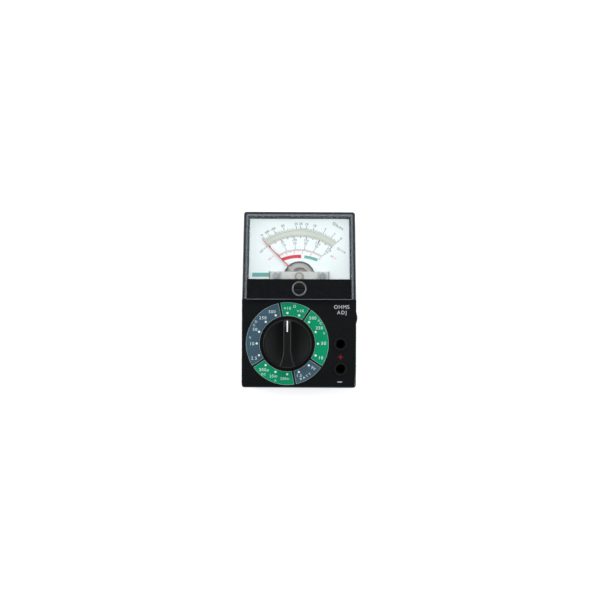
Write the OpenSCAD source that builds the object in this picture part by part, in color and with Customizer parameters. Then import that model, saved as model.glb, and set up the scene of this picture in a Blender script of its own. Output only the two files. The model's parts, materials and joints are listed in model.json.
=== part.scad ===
// Pocket analog multimeter, lying on its back.
// Millimetres. The origin is under the middle of the rear face: +X to the
// right, +Y towards the meter window, +Z out of the front panel.

/* [Case] */
// Width of the case across its lower half
case_w = 63; // [62:0.5:80]
// Length of the case
case_l = 97; // [94:0.5:120]
// How far each side leans in at the meter end
side_taper = 0.85; // [0:0.05:2]
// Radius of the four upright corners
corner_r = 1.5; // [1:0.25:4]
// Depth of the rear half of the case
rear_h = 12; // [10:0.5:13]
// Thickness of the side walls
wall = 2; // [1.6:0.1:2.2]
// Thickness of the rear face
floor_t = 2; // [1.5:0.1:3]
// Thickness of the front panel
panel_t = 2; // [1.5:0.1:3]
// Height of the rear half's lip inside the front half
lip_h = 1.2; // [0.8:0.1:1.2]
// Thickness of that lip
lip_t = 0.9; // [0.6:0.1:1]
// Room between the lip and the front half
lip_gap = 0.1; // [0.05:0.05:0.3]
// Radius of the case screws' bosses
boss_r = 2.7; // [2.4:0.1:3]
// Distance of a boss from the outside of the walls
boss_in = 2.1; // [2.1:0.1:2.5]
// Radius of the case screws' shanks
case_screw_r = 1; // [0.8:0.1:1.2]
// Radius of the case screws' heads
case_head_r = 2; // [1.7:0.1:2.1]
// Depth of the screw heads' wells
well_h = 7; // [5:0.5:8]

/* [Meter window] */
// Width of the case rim round the window
rim_w = 0.8; // [0.8:0.1:1.2]
// How far the rim lies below the panel
rim_drop = 2; // [1:0.1:2.5]
// Depth of the window's seat below the panel
seat_drop = 5; // [4.5:0.1:5.2]
// Width of the seat's ledge, measured from the outside
ledge_w = 2.4; // [2.3:0.1:2.6]
// How far the window stands above the panel
cover_rise = 3; // [2.5:0.1:4]
// Thickness of the window's front and sides
cover_t = 1.5; // [1.2:0.1:1.6]
// Thickness of the window's skirt
skirt_t = 1.3; // [1:0.05:1.3]
// How far the sloped sides lean in
slope_w = 1.7; // [1.5:0.1:2.5]
// Side room of the window in the rim
cover_gap = 0.05; // [0.02:0.01:0.15]
// Start of the window above the case's middle line
window_y = 0.1; // [0.05:0.05:0.3]
// Thickness of the cross wall between panel and window
cross_t = 1.6; // [1.2:0.1:2]
// Height of the black band on the window
band_h = 10.9; // [8:0.1:11]
// Thickness of that band
band_t = 0.2; // [0.1:0.05:0.4]
// Outer diameter of the ring round the zero screw
ring_d = 8; // [8:0.1:9.5]
// Height of that ring
ring_h = 0.5; // [0.4:0.1:0.8]

/* [Dial and pointer] */
// Thickness of the dial plate
dial_t = 0.6; // [0.4:0.1:0.8]
// Depth of the dial below the panel
dial_drop = 4; // [3.8:0.1:4.2]
// Margin of the dial inside the outside of the case
dial_in = 3.2; // [2.8:0.1:3.6]
// Distance of the dial's far edge from the end of the case
dial_top_in = 3.8; // [3.5:0.1:6]
// Distance of the pivot above the case's middle line
pivot_y = 12.7; // [12.5:0.1:14]
// Radius of the round cut-out in the dial
eye_r = 8.7; // [8.7:0.1:9]
// Half width of the straight cut-out for the bridge
eye_half_w = 16.5; // [16.2:0.1:18]
// Length of the pointer from its pivot
pointer_l = 28.8; // [26:0.1:31]
// Width of the pointer near its pivot
pointer_w = 0.65; // [0.6:0.05:1]
// Width of the pointer's tip
pointer_tip_w = 0.35; // [0.3:0.05:0.6]
// Thickness of the pointer
pointer_t = 0.3; // [0.2:0.05:0.35]
// Height of the pointer above the dial
pointer_lift = 0.9; // [0.8:0.05:1]
// Angle between the resting pointer and the centre line
pointer_rest = 45; // [44:0.5:48]
// Angle at which the stops hold the pointer
stop_angle = 53.5; // [53:0.5:56]

/* [Movement] */
// Diameter of the core magnet
core_d = 10.8; // [10:0.1:10.9]
// Height of the core magnet
core_h = 7.6; // [6.5:0.1:8]
// Inner diameter of the yoke ring
yoke_d = 15.6; // [15.6:0.1:15.8]
// Wall of the yoke ring
yoke_wall = 3.2; // [3:0.1:3.3]
// Room between the core and the coil's former
air_gap = 0.45; // [0.4:0.05:0.5]
// Thickness of the coil's former
former_t = 0.3; // [0.2:0.05:0.3]
// Thickness of the coil's winding
coil_t = 0.85; // [0.6:0.05:0.9]
// Width of the coil's winding
coil_w = 2.8; // [2:0.1:3]
// Radius of the pivot shafts
shaft_r = 0.4; // [0.3:0.05:0.45]
// Radial room of each shaft in its jewel
jewel_gap = 0.05; // [0.02:0.01:0.08]
// Radius of the jewel screws
jewel_r = 1.45; // [1.2:0.05:1.5]
// Thickness of both bridges
bridge_t = 0.8; // [0.7:0.1:0.9]
// Thickness of the movement's frame plate
frame_t = 1.5; // [1.3:0.1:1.6]
// Height of the dial's pads on the frame
pad_h = 1.2; // [1.1:0.1:1.4]
// Distance of the bridge screws from the pivot
bridge_screw_x = 13; // [12.8:0.1:13.2]
// Turns of each hairspring
hair_turns = 4; // [3:1:5]
// Thickness of the hairspring strip
hair_t = 0.12; // [0.08:0.01:0.15]

/* [Zero adjuster] */
// Distance of the zero screw above the case's middle line
zero_y = 6.1; // [6:0.1:6.3]
// Diameter of the zero screw
zero_d = 6; // [5.4:0.1:6.2]
// Radial room of the zero screw in the window
zero_gap = 0.05; // [0.02:0.01:0.1]
// Throw of the zero screw's pin
zero_throw = 1.6; // [1.2:0.1:1.7]
// Radius of that pin
zero_pin_r = 0.5; // [0.4:0.05:0.6]
// Side room of the pin in the lever's fork
fork_gap = 0.1; // [0.08:0.01:0.15]

/* [Range switch] */
// Distance of the knob left of the centre line
knob_left = 6.4; // [5:0.1:8]
// Distance of the knob from the lower end of the case
knob_up = 24.3; // [24:0.1:25]
// Diameter of the knob's disc
knob_d = 26.8; // [24:0.1:27]
// Thickness of the knob's disc
knob_t = 2; // [1.5:0.1:3]
// Height of the bar handle above the disc
bar_h = 4.7; // [3:0.1:6]
// Width of the bar handle
bar_w = 4.8; // [4:0.1:6]
// Width of the bar handle at its lower end
bar_end_w = 9.3; // [6:0.1:10]
// Gap between the knob and the panel
knob_gap = 0.3; // [0.2:0.05:0.5]
// Radius of the knob's hub in the panel
hub_r = 5; // [4:0.1:6]
// Radial room of the hub in the panel
hub_gap = 0.05; // [0.02:0.01:0.1]
// Radius of the knob's shaft in the rotor
knob_shaft_r = 2.6; // [2:0.1:2.8]
// Inner diameter of the printed ring
range_in_d = 29.8; // [28:0.1:30]
// Outer diameter of the printed ring
range_out_d = 45.8; // [40:0.1:46.4]
// Thickness of the printed ring
range_t = 0.15; // [0.1:0.05:0.2]
// Number of switch positions
positions = 16; // [8, 16]
// Radius of the rotor under the panel
rotor_r = 17.5; // [16:0.1:17.6]
// Space between the circuit board and the panel
switch_space = 3.4; // [3.4:0.1:4]
// Room for the wipers under the rotor
wiper_space = 0.9; // [0.8:0.1:1]
// Radius of the detent notches
notch_r = 1.05; // [1:0.05:1.1]
// Clear gap between a detent spring's nose and its notch
nose_gap = 0.3; // [0.25:0.05:0.35]

/* [Jacks] */
// Distance of the jacks from the right-hand side
jack_in = 8.6; // [8.4:0.1:9]
// Distance of the lower jack from the lower end
jack_up = 10.4; // [10.4:0.1:11]
// Spacing of the two jacks
jack_pitch = 13.7; // [12.5:0.1:14]
// Bore of the brass sockets
jack_bore = 4; // [3.9:0.1:4.1]
// Outer diameter of the brass sockets
socket_d = 5.3; // [5.1:0.1:5.3]
// Depth of the sockets' mouths below the panel
socket_drop = 3.5; // [3:0.1:4]
// Length of the sockets
socket_l = 12; // [10:0.1:13]
// Hole in the moulded collars
jack_hole = 5.4; // [5.4:0.1:5.6]
// Outer diameter of the moulded collars
collar_d = 7.9; // [7.5:0.1:8.2]
// Height of the collars above the panel
collar_h = 0.6; // [0.4:0.1:1]

/* [Ohms adjuster] */
// Diameter of the thumbwheel
wheel_d = 14; // [12:0.1:14]
// Thickness of the thumbwheel
wheel_t = 2; // [1.6:0.1:2]
// How far the thumbwheel stands out of the side
wheel_out = 0.85; // [0.5:0.05:1.2]
// Distance of the thumbwheel below the case's middle line
wheel_down = 9.9; // [9.9:0.1:10.4]
// Radius of the thumbwheel's bore
wheel_bore_r = 1.25; // [1:0.05:1.5]
// Radial room of the bore on its post
wheel_gap = 0.05; // [0.02:0.01:0.1]

/* [Battery] */
// Diameter of the cell
cell_d = 14.5; // [13:0.1:15]
// Length of the cell with its positive cap
cell_l = 50.5; // [48:0.1:51]
// Distance of the cell's axis below the case's middle line
cell_down = 11; // [10.8:0.1:11.4]
// Gap between the cell and the rear face
cell_gap = 0.3; // [0.2:0.05:0.5]
// Length of the compressed battery spring
spring_l = 5; // [4:0.1:6]

/* [Circuit board] */
// Thickness of the circuit board
board_t = 1.6; // [1.2:0.1:1.6]
// Gap between the board and the case walls
board_gap = 0.4; // [0.2:0.05:0.6]
// Gap between the cell and the board
cell_board_gap = 0.2; // [0.2:0.05:0.5]
// Thickness of the copper tracks
track_t = 0.07; // [0.05:0.01:0.08]
// Radius of the movement's leads
lead_r = 0.5; // [0.4:0.05:0.6]
// Radius of the battery's leads
cell_lead_r = 0.6; // [0.5:0.05:0.7]

/* [Hidden] */
$fn = 64;
fillet_steps = 10;
far = 200;

// Heights, from the rear face to the knob
cell_z = floor_t + cell_gap + cell_d / 2;
board_z = cell_z + cell_d / 2 + cell_board_gap;
board_top = board_z + board_t;
panel_in = board_top + switch_space;
case_h = panel_in + panel_t;
rim_z = case_h - rim_drop;
seat_z = case_h - seat_drop;
cover_z = case_h + cover_rise;
dial_z = case_h - dial_drop;
frame_top = dial_z - dial_t - pad_h;
frame_z = frame_top - frame_t;

// Places along and across the case
half_l = case_l / 2;
knob_x = -knob_left;
knob_y = knob_up - half_l;
jack_x = case_w / 2 - jack_in;
jack_ys = [jack_up + jack_pitch - half_l, jack_up - half_l];
wheel_x = case_w / 2 + wheel_out - wheel_d / 2;
wheel_y = -wheel_down;
cell_y = -cell_down;
boss_xy = [
    for (end = [-1, 1])
        for (side = [-1, 1])
            [side * (side_x(end * half_l) - boss_in - boss_r), end * (half_l - boss_in - boss_r)]
];

// Movement, from the bottom up
yoke_r = yoke_d / 2;
yoke_out_r = yoke_r + yoke_wall;
core_r = core_d / 2;
core_lift = 0.4;
yoke_h = core_h + 2 * core_lift;
yoke_z = frame_z - yoke_h;
core_z = yoke_z + core_lift;
former_x = core_r + air_gap;
former_z = [core_z - core_lift + 0.05, core_z + core_h + core_lift - 0.05];
coil_x = former_x + former_t;
coil_z = [former_z[0] - former_t, former_z[1] + former_t];
coil_out_z = [coil_z[0] - coil_t, coil_z[1] + coil_t];
pointer_z = dial_z + pointer_lift;
cross_plate_t = 0.3;
collet_r = 0.65;
hair_r = 3;
hair_h = 0.25;
hair_z = pointer_z + pointer_t + 0.3;
jewel_z = hair_z + hair_h + 0.15;
bridge_z = jewel_z + 0.3;
bridge_screw_dy = 0.7;
bridge_post_h = 2.1;
bridge_end_z = frame_top + bridge_post_h;
bridge_half_x = 16;
bridge_riser_x = 9.5;
lever_z = bridge_z + bridge_t + 0.2;
lever_t = 0.4;
jewel_top = lever_z + lever_t + 0.3;
tab_r = hair_r + 0.07;
low_bridge_z = yoke_z - 4.7;
low_hair_z = low_bridge_z + 2;
low_jewel_z = low_bridge_z - 0.7;
low_screw_x = yoke_r + yoke_wall / 2 + 0.4;
stop_r = yoke_r + 0.45;
stop_pin_r = 0.35;
stop_lean = asin((pointer_w / 2 + stop_pin_r) / stop_r);
lug_ys = [8, half_l - 10.5];
lug_in = 5.6;
lug_h = 3.2;
pad_in = 7;

// Zero adjuster
flange_z = cover_z - cover_t - 0.6;
flange_t = 0.4;
zero_top = cover_z + ring_h - 0.2;

// Range switch
rotor_z = board_top + wiper_space;
rotor_t = switch_space - wiper_space - 0.4;
knob_z = case_h + knob_gap;
bar_z = knob_z + knob_t;
knob_top = bar_z + bar_h;
index_l = 6.3;
index_w = 0.85;
index_out = 13;
nose_r = notch_r - nose_gap;
nose_at = rotor_r + 0.25;
leaf_t = 0.3;
leaf_h = 1.7;
leaf_half_l = 8;
leaf_at = rotor_r + 0.45;
leaf_post_r = 1;
wiper_rs = [rotor_r - 9.5, rotor_r - 6, rotor_r - 2.5];
track_w = 1.6;

// Board fixings
post_r = 2.3;
board_xy = [
    [knob_x - 19.5, -4.6],
    [knob_x + 19.5, -4.6],
    [knob_x - 10.6, knob_y - 18.8],
    [knob_x + 10.6, knob_y - 18.8]
];
board_end_y = -2.2;
fuse_l = 20;
fuse_r = 2.6;
fuse_down = 18.9;
fuse_drop = 4;
small_r = 0.8;
fit = 0.05;

// Routes of the leads, from the movement's tags and the cell's contacts to the board
tag_x = 9;
tag_y = 3.2;
tag_t = 0.8;
tag_z = frame_z - tag_t;
movement_route = [
    [0, tag_y, tag_z], [0, tag_y, tag_z - 0.8], [0, 2.6, tag_z - 1.7], [0, 1.2, tag_z - 2.2],
    [0, -0.6, tag_z - 2.2], [0, -2.4, tag_z - 1.8], [0, -3.4, tag_z - 0.9], [0, -3.6, tag_z], [0, -3.6, board_z]
];
contact_t = 0.5;
contact_x = [-cell_l / 2 - 2.25 - contact_t, cell_l / 2 - 2.25 + spring_l];
contact_tab_y = cell_y - 6.4;
battery_route = [
    [0, contact_tab_y, 10], [0, contact_tab_y - 0.7, 10], [0, -19.2, 10.6], [0, -20.2, 12],
    [0, -20.6, 13.6], [0, -20.6, board_z]
];

// ---------------------------------------------------------------- outlines

function unit(v) = v / norm(v);

// Half width of the case at a height along it
function side_x(y) = case_w / 2 - side_taper * max(0, y) / half_l;

// Points of the arc that rounds corner p between its neighbours a and b
function fillet(a, p, b, r) =
    r <= 0 ? [p] :
    let (
        u = unit(a - p),
        v = unit(b - p),
        half = acos(u * v) / 2,
        c = p + unit(u + v) * r / sin(half),
        s = p + u * r / tan(half) - c,
        e = p + v * r / tan(half) - c,
        start = atan2(s.y, s.x),
        turn = atan2(s.x * e.y - s.y * e.x, s * e)
    )
    [for (k = [0 : fillet_steps]) c + r * [cos(start + turn * k / fillet_steps), sin(start + turn * k / fillet_steps)]];

function rounded(points, radii) =
    let (n = len(points))
    [for (i = [0 : n - 1]) each fillet(points[(i + n - 1) % n], points[i], points[(i + 1) % n], radii[i])];

// Outline of the whole case, moved in from its outside
function case_outline(inset) =
    let (
        w = case_w / 2 - inset,
        t = side_x(half_l) - inset,
        l = half_l - inset,
        r = max(corner_r - inset, 0.5)
    )
    rounded([[-w, -l], [w, -l], [w, 0], [t, l], [-t, l], [-w, 0]], [r, r, 0, r, r, 0]);

// Outline of the meter half, from a height y0 to the end of the case or to an end height
function meter_outline(inset, y0, end_in = 0) =
    let (
        y1 = half_l - max(inset, end_in),
        b = side_x(y0) - inset,
        t = side_x(y1) - inset,
        r = max(corner_r - inset, 0.6)
    )
    rounded([[-b, y0], [b, y0], [t, y1], [-t, y1]], [0.4, 0.4, r, r]);

module case_slab(inset, z0, z1) {
    translate([0, 0, z0])
        linear_extrude(z1 - z0)
            polygon(case_outline(inset));
}

module meter_slab(inset, y0, z0, z1, end_in = 0) {
    translate([0, 0, z0])
        linear_extrude(z1 - z0)
            polygon(meter_outline(inset, y0, end_in));
}

module tube(r, bore, h) {
    difference() {
        cylinder(r = r, h = h);
        translate([0, 0, -1])
            cylinder(r = bore, h = h + 2);
    }
}

module at_bosses() {
    for (p = boss_xy)
        translate(p)
            children();
}

// Four lugs that carry the movement's frame
function lug_x(y) = side_x(y) - ledge_w - 2.8;

module at_lugs() {
    for (y = lug_ys)
        for (side = [-1, 1])
            translate([side * lug_x(y), y, 0])
                children();
}

// A round-headed screw with its head up, its shank down from z = 0
module screw(head_r, head_h, shank_r, shank_l) {
    difference() {
        cylinder(r = head_r, h = head_h);
        translate([-head_r, -head_r * 0.15, head_h * 0.5])
            cube([2 * head_r, head_r * 0.3, head_h]);
    }
    translate([0, 0, -shank_l])
        cylinder(r = shank_r, h = shank_l);
}

// -------------------------------------------------------------------- case

module rear_case() {
    color("#232528")
    difference() {
        union() {
            difference() {
                case_slab(0, 0, rear_h);
                case_slab(wall, floor_t, rear_h + 1);
            }
            difference() {
                case_slab(wall - lip_t, rear_h, rear_h + lip_h);
                case_slab(wall, rear_h - 1, rear_h + lip_h + 1);
            }
            at_bosses()
                cylinder(r = boss_r, h = rear_h);
            cell_cradle();
            contact_backs();
        }
        at_bosses() {
            translate([0, 0, -1])
                cylinder(r = case_head_r + 0.2, h = well_h + 1);
            cylinder(r = case_screw_r + 0.2, h = rear_h + 1);
        }
    }
}

// Two ribs that the cell lies in
module cell_cradle() {
    rib_t = 2;
    for (x = [-18, 12])
        difference() {
            translate([x, cell_y - cell_d / 2 - 1.2, floor_t])
                cube([rib_t, cell_d + 2.4, cell_z - floor_t]);
            translate([x - 1, cell_y, cell_z])
                rotate([0, 90, 0])
                    cylinder(r = cell_d / 2 + fit, h = rib_t + 2);
        }
}

// Walls behind the cell's contacts
module contact_backs() {
    x0 = -case_w / 2 + wall;
    translate([x0, cell_y - 4, floor_t])
        cube([contact_x[0] - x0, 8, rear_h - floor_t - 0.5]);
    translate([contact_x[1] + contact_t, cell_y - 4, floor_t])
        cube([case_w / 2 - wall - contact_x[1] - contact_t, 8, rear_h - floor_t - 0.5]);
}

module front_case() {
    color("#26282b")
    difference() {
        union() {
            front_shell();
            at_bosses()
                translate([0, 0, rear_h])
                    cylinder(r = boss_r, h = frame_z - rear_h);
            for (p = [boss_xy[0], boss_xy[1]])
                translate([p.x, p.y, rear_h + lip_h + 0.3])
                    cylinder(r = boss_r + 0.4, h = panel_in - rear_h - lip_h);
            frame_lugs();
            for (p = board_xy)
                translate([p.x, p.y, board_top])
                    cylinder(r = post_r, h = switch_space + 1);
            for (y = jack_ys)
                translate([jack_x, y, board_top + 0.4])
                    cylinder(r = collar_d / 2, h = case_h + collar_h - board_top - 0.4);
            leaf_posts();
        }
        at_bosses()
            translate([0, 0, rear_h - 1])
                cylinder(r = case_screw_r + fit, h = 4.4);
        for (p = board_xy)
            translate([p.x, p.y, board_top - 1])
                cylinder(r = small_r + fit, h = 3.9);
        for (y = jack_ys)
            translate([jack_x, y, board_top])
                cylinder(r = jack_hole / 2, h = far);
        translate([knob_x, knob_y, panel_in - 1])
            cylinder(r = hub_r + hub_gap, h = panel_t + 2);
        wheel_slot();
    }
}

// Side walls, panel and window seat
module front_shell() {
    lip_z = rear_h + lip_h + 0.1;
    difference() {
        case_slab(0, rear_h, case_h);
        case_slab(wall - lip_t - lip_gap, rear_h - 1, lip_z);
        intersection() {
            case_slab(wall, rear_h, panel_in);
            translate([-far, -far - cross_t, 0])
                cube([2 * far, far, far]);
        }
        meter_slab(ledge_w, 0, rear_h, case_h + 1);
        meter_slab(rim_w, 0, seat_z, case_h + 1);
        translate([-far, 0, rim_z])
            cube([2 * far, far, far]);
        // the way for the leads, under the cross wall
        translate([-case_w / 2 + ledge_w, -cross_t - 1, rear_h])
            cube([case_w - 2 * ledge_w, cross_t + 2, board_z - rear_h]);
    }
}

module frame_lugs() {
    difference() {
        for (y = lug_ys)
            for (side = [-1, 1])
                translate([side > 0 ? lug_x(y) - 2.8 : -side_x(y) + 1.2, y - 3, frame_z - lug_h])
                    cube([side_x(y) - 1.2 - lug_x(y) + 2.8, 6, lug_h]);
        at_lugs()
            translate([0, 0, frame_z - 2.6])
                cylinder(r = small_r + fit, h = 3);
    }
}

// Posts behind the ends of the detent springs
module leaf_posts() {
    at_leaves()
        for (end = [-1, 1])
            translate([leaf_at + leaf_t + fit + leaf_post_r, end * (leaf_half_l - 1), rotor_z])
                cylinder(r = leaf_post_r, h = panel_in - rotor_z + 1);
}

module wheel_slot() {
    half = sqrt(pow(wheel_d / 2, 2) - pow(wheel_d / 2 - wheel_out - wall, 2)) + 0.6;
    translate([case_w / 2 - wall - 0.5, wheel_y - half, wheel_z() - 0.3])
        cube([wall + 2, 2 * half, wheel_t + 0.6]);
}

module meter_cover() {
    skirt_in = rim_w + cover_gap;
    face_in = skirt_in + slope_w;
    // the inner slope runs beside the outer one
    inner_face_in = skirt_in + skirt_t + slope_w * (cover_z - cover_t - rim_z) / (cover_z - rim_z);
    inner_y = window_y + cover_t;
    color("#bcd0dc", 0.35)
    difference() {
        union() {
            meter_slab(skirt_in, window_y, seat_z, rim_z);
            hull() {
                meter_slab(skirt_in, window_y, rim_z - 0.01, rim_z);
                meter_slab(face_in, window_y, cover_z - 0.01, cover_z);
            }
            translate([0, zero_y, cover_z])
                cylinder(r = ring_d / 2, h = ring_h);
        }
        meter_slab(skirt_in + skirt_t, inner_y, seat_z - 1, rim_z);
        hull() {
            meter_slab(skirt_in + skirt_t, inner_y, rim_z - 0.01, rim_z);
            meter_slab(inner_face_in, inner_y, cover_z - cover_t - 0.01, cover_z - cover_t);
        }
        translate([0, zero_y, cover_z - cover_t - 1])
            cylinder(r = zero_d / 2 + zero_gap, h = far);
    }
}

module cover_band() {
    face_in = rim_w + cover_gap + slope_w;
    color("#101113")
    difference() {
        intersection() {
            meter_slab(face_in + 0.1, window_y + 0.3, cover_z, cover_z + band_t);
            translate([-far, -far, 0])
                cube([2 * far, far + window_y + 0.3 + band_h, far]);
        }
        translate([0, zero_y, cover_z - 1])
            cylinder(r = ring_d / 2 + fit, h = 3);
    }
}

module case_screws() {
    color("#8b8f94")
    at_bosses()
        translate([0, 0, well_h])
            mirror([0, 0, 1])
                screw(case_head_r, 1.4, case_screw_r, rear_h + 3 - well_h);
}

// ---------------------------------------------------------------- movement

module at_pivot() {
    translate([0, pivot_y, 0])
        children();
}

// Pieces that swing with the pointer, drawn with the pointer along +Y
module on_pointer() {
    at_pivot()
        rotate([0, 0, pointer_rest])
            children();
}

module at_bridge_screws() {
    for (side = [-1, 1])
        translate([side * bridge_screw_x, pivot_y + bridge_screw_dy, 0])
            children();
}

module at_yoke_screws() {
    for (end = [-1, 1])
        translate([0, pivot_y + end * (yoke_r + yoke_wall / 2 + 0.5), 0])
            children();
}

module dial_plate() {
    eye_top = pivot_y + 2.9;
    color("#e9eff2")
    difference() {
        meter_slab(dial_in, window_y + cover_t + 0.2, dial_z - dial_t, dial_z, dial_top_in);
        translate([0, pivot_y, dial_z - 2])
            cylinder(r = eye_r, h = 4);
        translate([-eye_half_w, pivot_y - 3.4, dial_z - 2])
            cube([2 * eye_half_w, eye_top - pivot_y + 3.4, 4]);
    }
}

module movement_frame() {
    color("#c9cbc8")
    difference() {
        union() {
            meter_slab(dial_in + 0.2, 1, frame_z, frame_top, dial_top_in + 0.2);
            for (y = [4.2, half_l - 7.5])
                for (side = [-1, 1])
                    translate([side * (side_x(y) - pad_in - 2), y, frame_top])
                        cylinder(r = 1.8, h = pad_h);
            at_bridge_screws()
                translate([0, 0, frame_top])
                    cylinder(r = 2, h = bridge_post_h);
        }
        translate([0, pivot_y, frame_z - 1])
            cylinder(r = yoke_r + 1.4, h = frame_t + 2);
        at_bridge_screws()
            translate([0, 0, frame_z - 1])
                cylinder(r = small_r + fit, h = far);
        at_yoke_screws()
            translate([0, 0, frame_z - 1])
                cylinder(r = small_r + fit, h = frame_t + 2);
        at_lugs()
            translate([0, 0, frame_z - 1])
                cylinder(r = small_r + 0.2, h = frame_t + 2);
    }
}

module frame_screws() {
    color("#a7abad")
    at_lugs()
        translate([0, 0, frame_top])
            screw(1.5, 0.9, small_r, frame_t + 2.2);
}

module bridge_screws() {
    color("#b9bcbd")
    at_bridge_screws()
        translate([0, 0, bridge_end_z + bridge_t])
            screw(1.7, 0.9, small_r, bridge_t + bridge_post_h + 0.8);
}

module yoke_screws() {
    color("#a7abad")
    at_yoke_screws()
        translate([0, 0, frame_top])
            screw(1.3, 0.7, small_r, frame_t + 3);
}

module yoke_ring() {
    color("#4a4c4e")
    difference() {
        translate([0, pivot_y, yoke_z])
            tube(yoke_out_r, yoke_r, yoke_h);
        at_yoke_screws()
            translate([0, 0, frame_z - 3.4])
                cylinder(r = small_r + fit, h = 5);
        for (side = [-1, 1])
            translate([side * low_screw_x, pivot_y, yoke_z - 1])
                cylinder(r = small_r + fit, h = 4.4);
    }
}

module core_magnet() {
    color("#6e7173")
    translate([0, pivot_y, core_z])
        cylinder(r = core_r, h = core_h);
}

// Two blocks that hold the core in the ring, clear of the coil's swing
module core_clamp() {
    color("#b8935a")
    at_pivot()
        intersection() {
            translate([0, 0, core_z + 1.2])
                tube(yoke_r - 0.08, core_r + 0.08, core_h - 2.4);
            translate([-1.6, -far, 0])
                cube([3.2, 2 * far, far]);
        }
}

module upper_bridge() {
    bar_y = -2.2;
    bar_l = 5;
    color("#cdc7b4")
    difference() {
        at_pivot()
            union() {
                for (side = [-1, 1])
                    translate([side > 0 ? bridge_riser_x - 0.8 : -bridge_half_x, bar_y, bridge_end_z])
                        cube([bridge_half_x - bridge_riser_x + 0.8, bar_l, bridge_t]);
                for (side = [-1, 1])
                    translate([side > 0 ? bridge_riser_x - 0.8 : -bridge_riser_x, bar_y, bridge_end_z])
                        cube([0.8, bar_l, bridge_z - bridge_end_z + bridge_t]);
                translate([-bridge_riser_x, bar_y, bridge_z])
                    cube([2 * bridge_riser_x, bar_l, bridge_t]);
            }
        at_bridge_screws()
            cylinder(r = small_r + 0.2, h = far);
        translate([0, pivot_y, bridge_z - 1])
            cylinder(r = jewel_r + fit, h = 4);
    }
}

module lower_bridge() {
    half_y = 2.2;
    half_x = yoke_out_r - 0.1;
    leg_w = 2.4;
    color("#b8935a")
    at_pivot()
        difference() {
            union() {
                translate([-half_x, -half_y, low_bridge_z])
                    cube([2 * half_x, 2 * half_y, bridge_t]);
                for (side = [-1, 1])
                    translate([side > 0 ? half_x - leg_w : -half_x, -half_y, low_bridge_z])
                        cube([leg_w, 2 * half_y, yoke_z - low_bridge_z]);
                translate([tab_r, -0.4, low_bridge_z])
                    cube([0.6, 0.8, low_hair_z + hair_h - low_bridge_z]);
            }
            translate([0, 0, low_bridge_z - 1])
                cylinder(r = jewel_r + fit, h = 3);
            for (side = [-1, 1])
                translate([side * low_screw_x, 0, low_bridge_z - 1])
                    cylinder(r = small_r + fit, h = far);
        }
}

module lower_bridge_screws() {
    color("#a7abad")
    for (side = [-1, 1])
        translate([side * low_screw_x, pivot_y, low_bridge_z])
            mirror([0, 0, 1])
                screw(1.3, 0.9, small_r, yoke_z - low_bridge_z + 3);
}

// A threaded plug with a blind bearing bore in its inner end
module jewel_screw(h, bore_h) {
    difference() {
        cylinder(r = jewel_r, h = h);
        translate([0, 0, -1])
            cylinder(r = shaft_r + jewel_gap, h = bore_h + 1);
        translate([-jewel_r - 1, -0.2, h - 0.5])
            cube([2 * jewel_r + 2, 0.4, 1]);
    }
}

module upper_jewel_screw() {
    color("#c8a050")
    translate([0, pivot_y, jewel_z])
        jewel_screw(jewel_top - jewel_z, 0.9);
}

module lower_jewel_screw() {
    top = low_bridge_z + bridge_t + 0.3;
    color("#c8a050")
    translate([0, pivot_y, top])
        mirror([0, 0, 1])
            jewel_screw(top - low_jewel_z, 0.9);
}

module pointer_stops() {
    color("#8d9092")
    at_pivot()
        for (side = [-1, 1])
            rotate([0, 0, side * (stop_angle + stop_lean)])
                translate([0, stop_r, frame_z])
                    cylinder(r = stop_pin_r, h = pointer_z + pointer_t + 0.4 - frame_z);
}

module coil_loop(x0, x1, z_in, z_out, w) {
    rotate([90, 0, 0])
        translate([0, 0, -w / 2])
            linear_extrude(w)
                difference() {
                    translate([-x1, z_out[0]])
                        square([2 * x1, z_out[1] - z_out[0]]);
                    translate([-x0, z_in[0]])
                        square([2 * x0, z_in[1] - z_in[0]]);
                }
}

module coil_former() {
    color("#c4c8ca")
    on_pointer()
        coil_loop(former_x, coil_x, former_z, coil_z, coil_w + 0.4);
}

module moving_coil() {
    color("#a8622c")
    on_pointer()
        coil_loop(coil_x, coil_x + coil_t, coil_z, coil_out_z, coil_w);
}

module pivot_shafts() {
    top = jewel_z + 0.6;
    bottom = low_bridge_z + bridge_t - 0.3;
    color("#b4b8bb")
    at_pivot() {
        translate([0, 0, coil_out_z[1]]) {
            cylinder(r = 1.2, h = 0.3);
            cylinder(r = shaft_r, h = top - coil_out_z[1]);
        }
        translate([0, 0, bottom])
            cylinder(r = shaft_r, h = coil_out_z[0] - bottom);
        translate([0, 0, coil_out_z[0] - 0.3])
            cylinder(r = 1.2, h = 0.3);
        translate([0, 0, low_hair_z])
            cylinder(r = collet_r, h = hair_h + 0.2);
    }
}

module balance_cross() {
    tail_l = 5.4;
    arm_l = 3.9;
    color("#b8935a")
    on_pointer()
        difference() {
            union() {
                translate([0, 0, pointer_z - cross_plate_t]) {
                    cylinder(r = 1.9, h = cross_plate_t);
                    translate([-0.3, -tail_l, 0])
                        cube([0.6, tail_l, cross_plate_t]);
                    translate([-arm_l, -0.3, 0])
                        cube([2 * arm_l, 0.6, cross_plate_t]);
                    cylinder(r = 1, h = cross_plate_t + pointer_t + 0.1);
                    cylinder(r = collet_r, h = hair_z + hair_h - pointer_z + cross_plate_t);
                }
            }
            translate([0, 0, pointer_z - 1])
                cylinder(r = shaft_r + 0.02, h = 5);
        }
}

module balance_weights() {
    weight_r = 0.55;
    color("#d0b070")
    on_pointer()
        for (p = [[0, -4.7], [-3.2, 0], [3.2, 0]])
            translate([p.x, p.y, pointer_z])
                cylinder(r = weight_r, h = 0.35);
}

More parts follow.
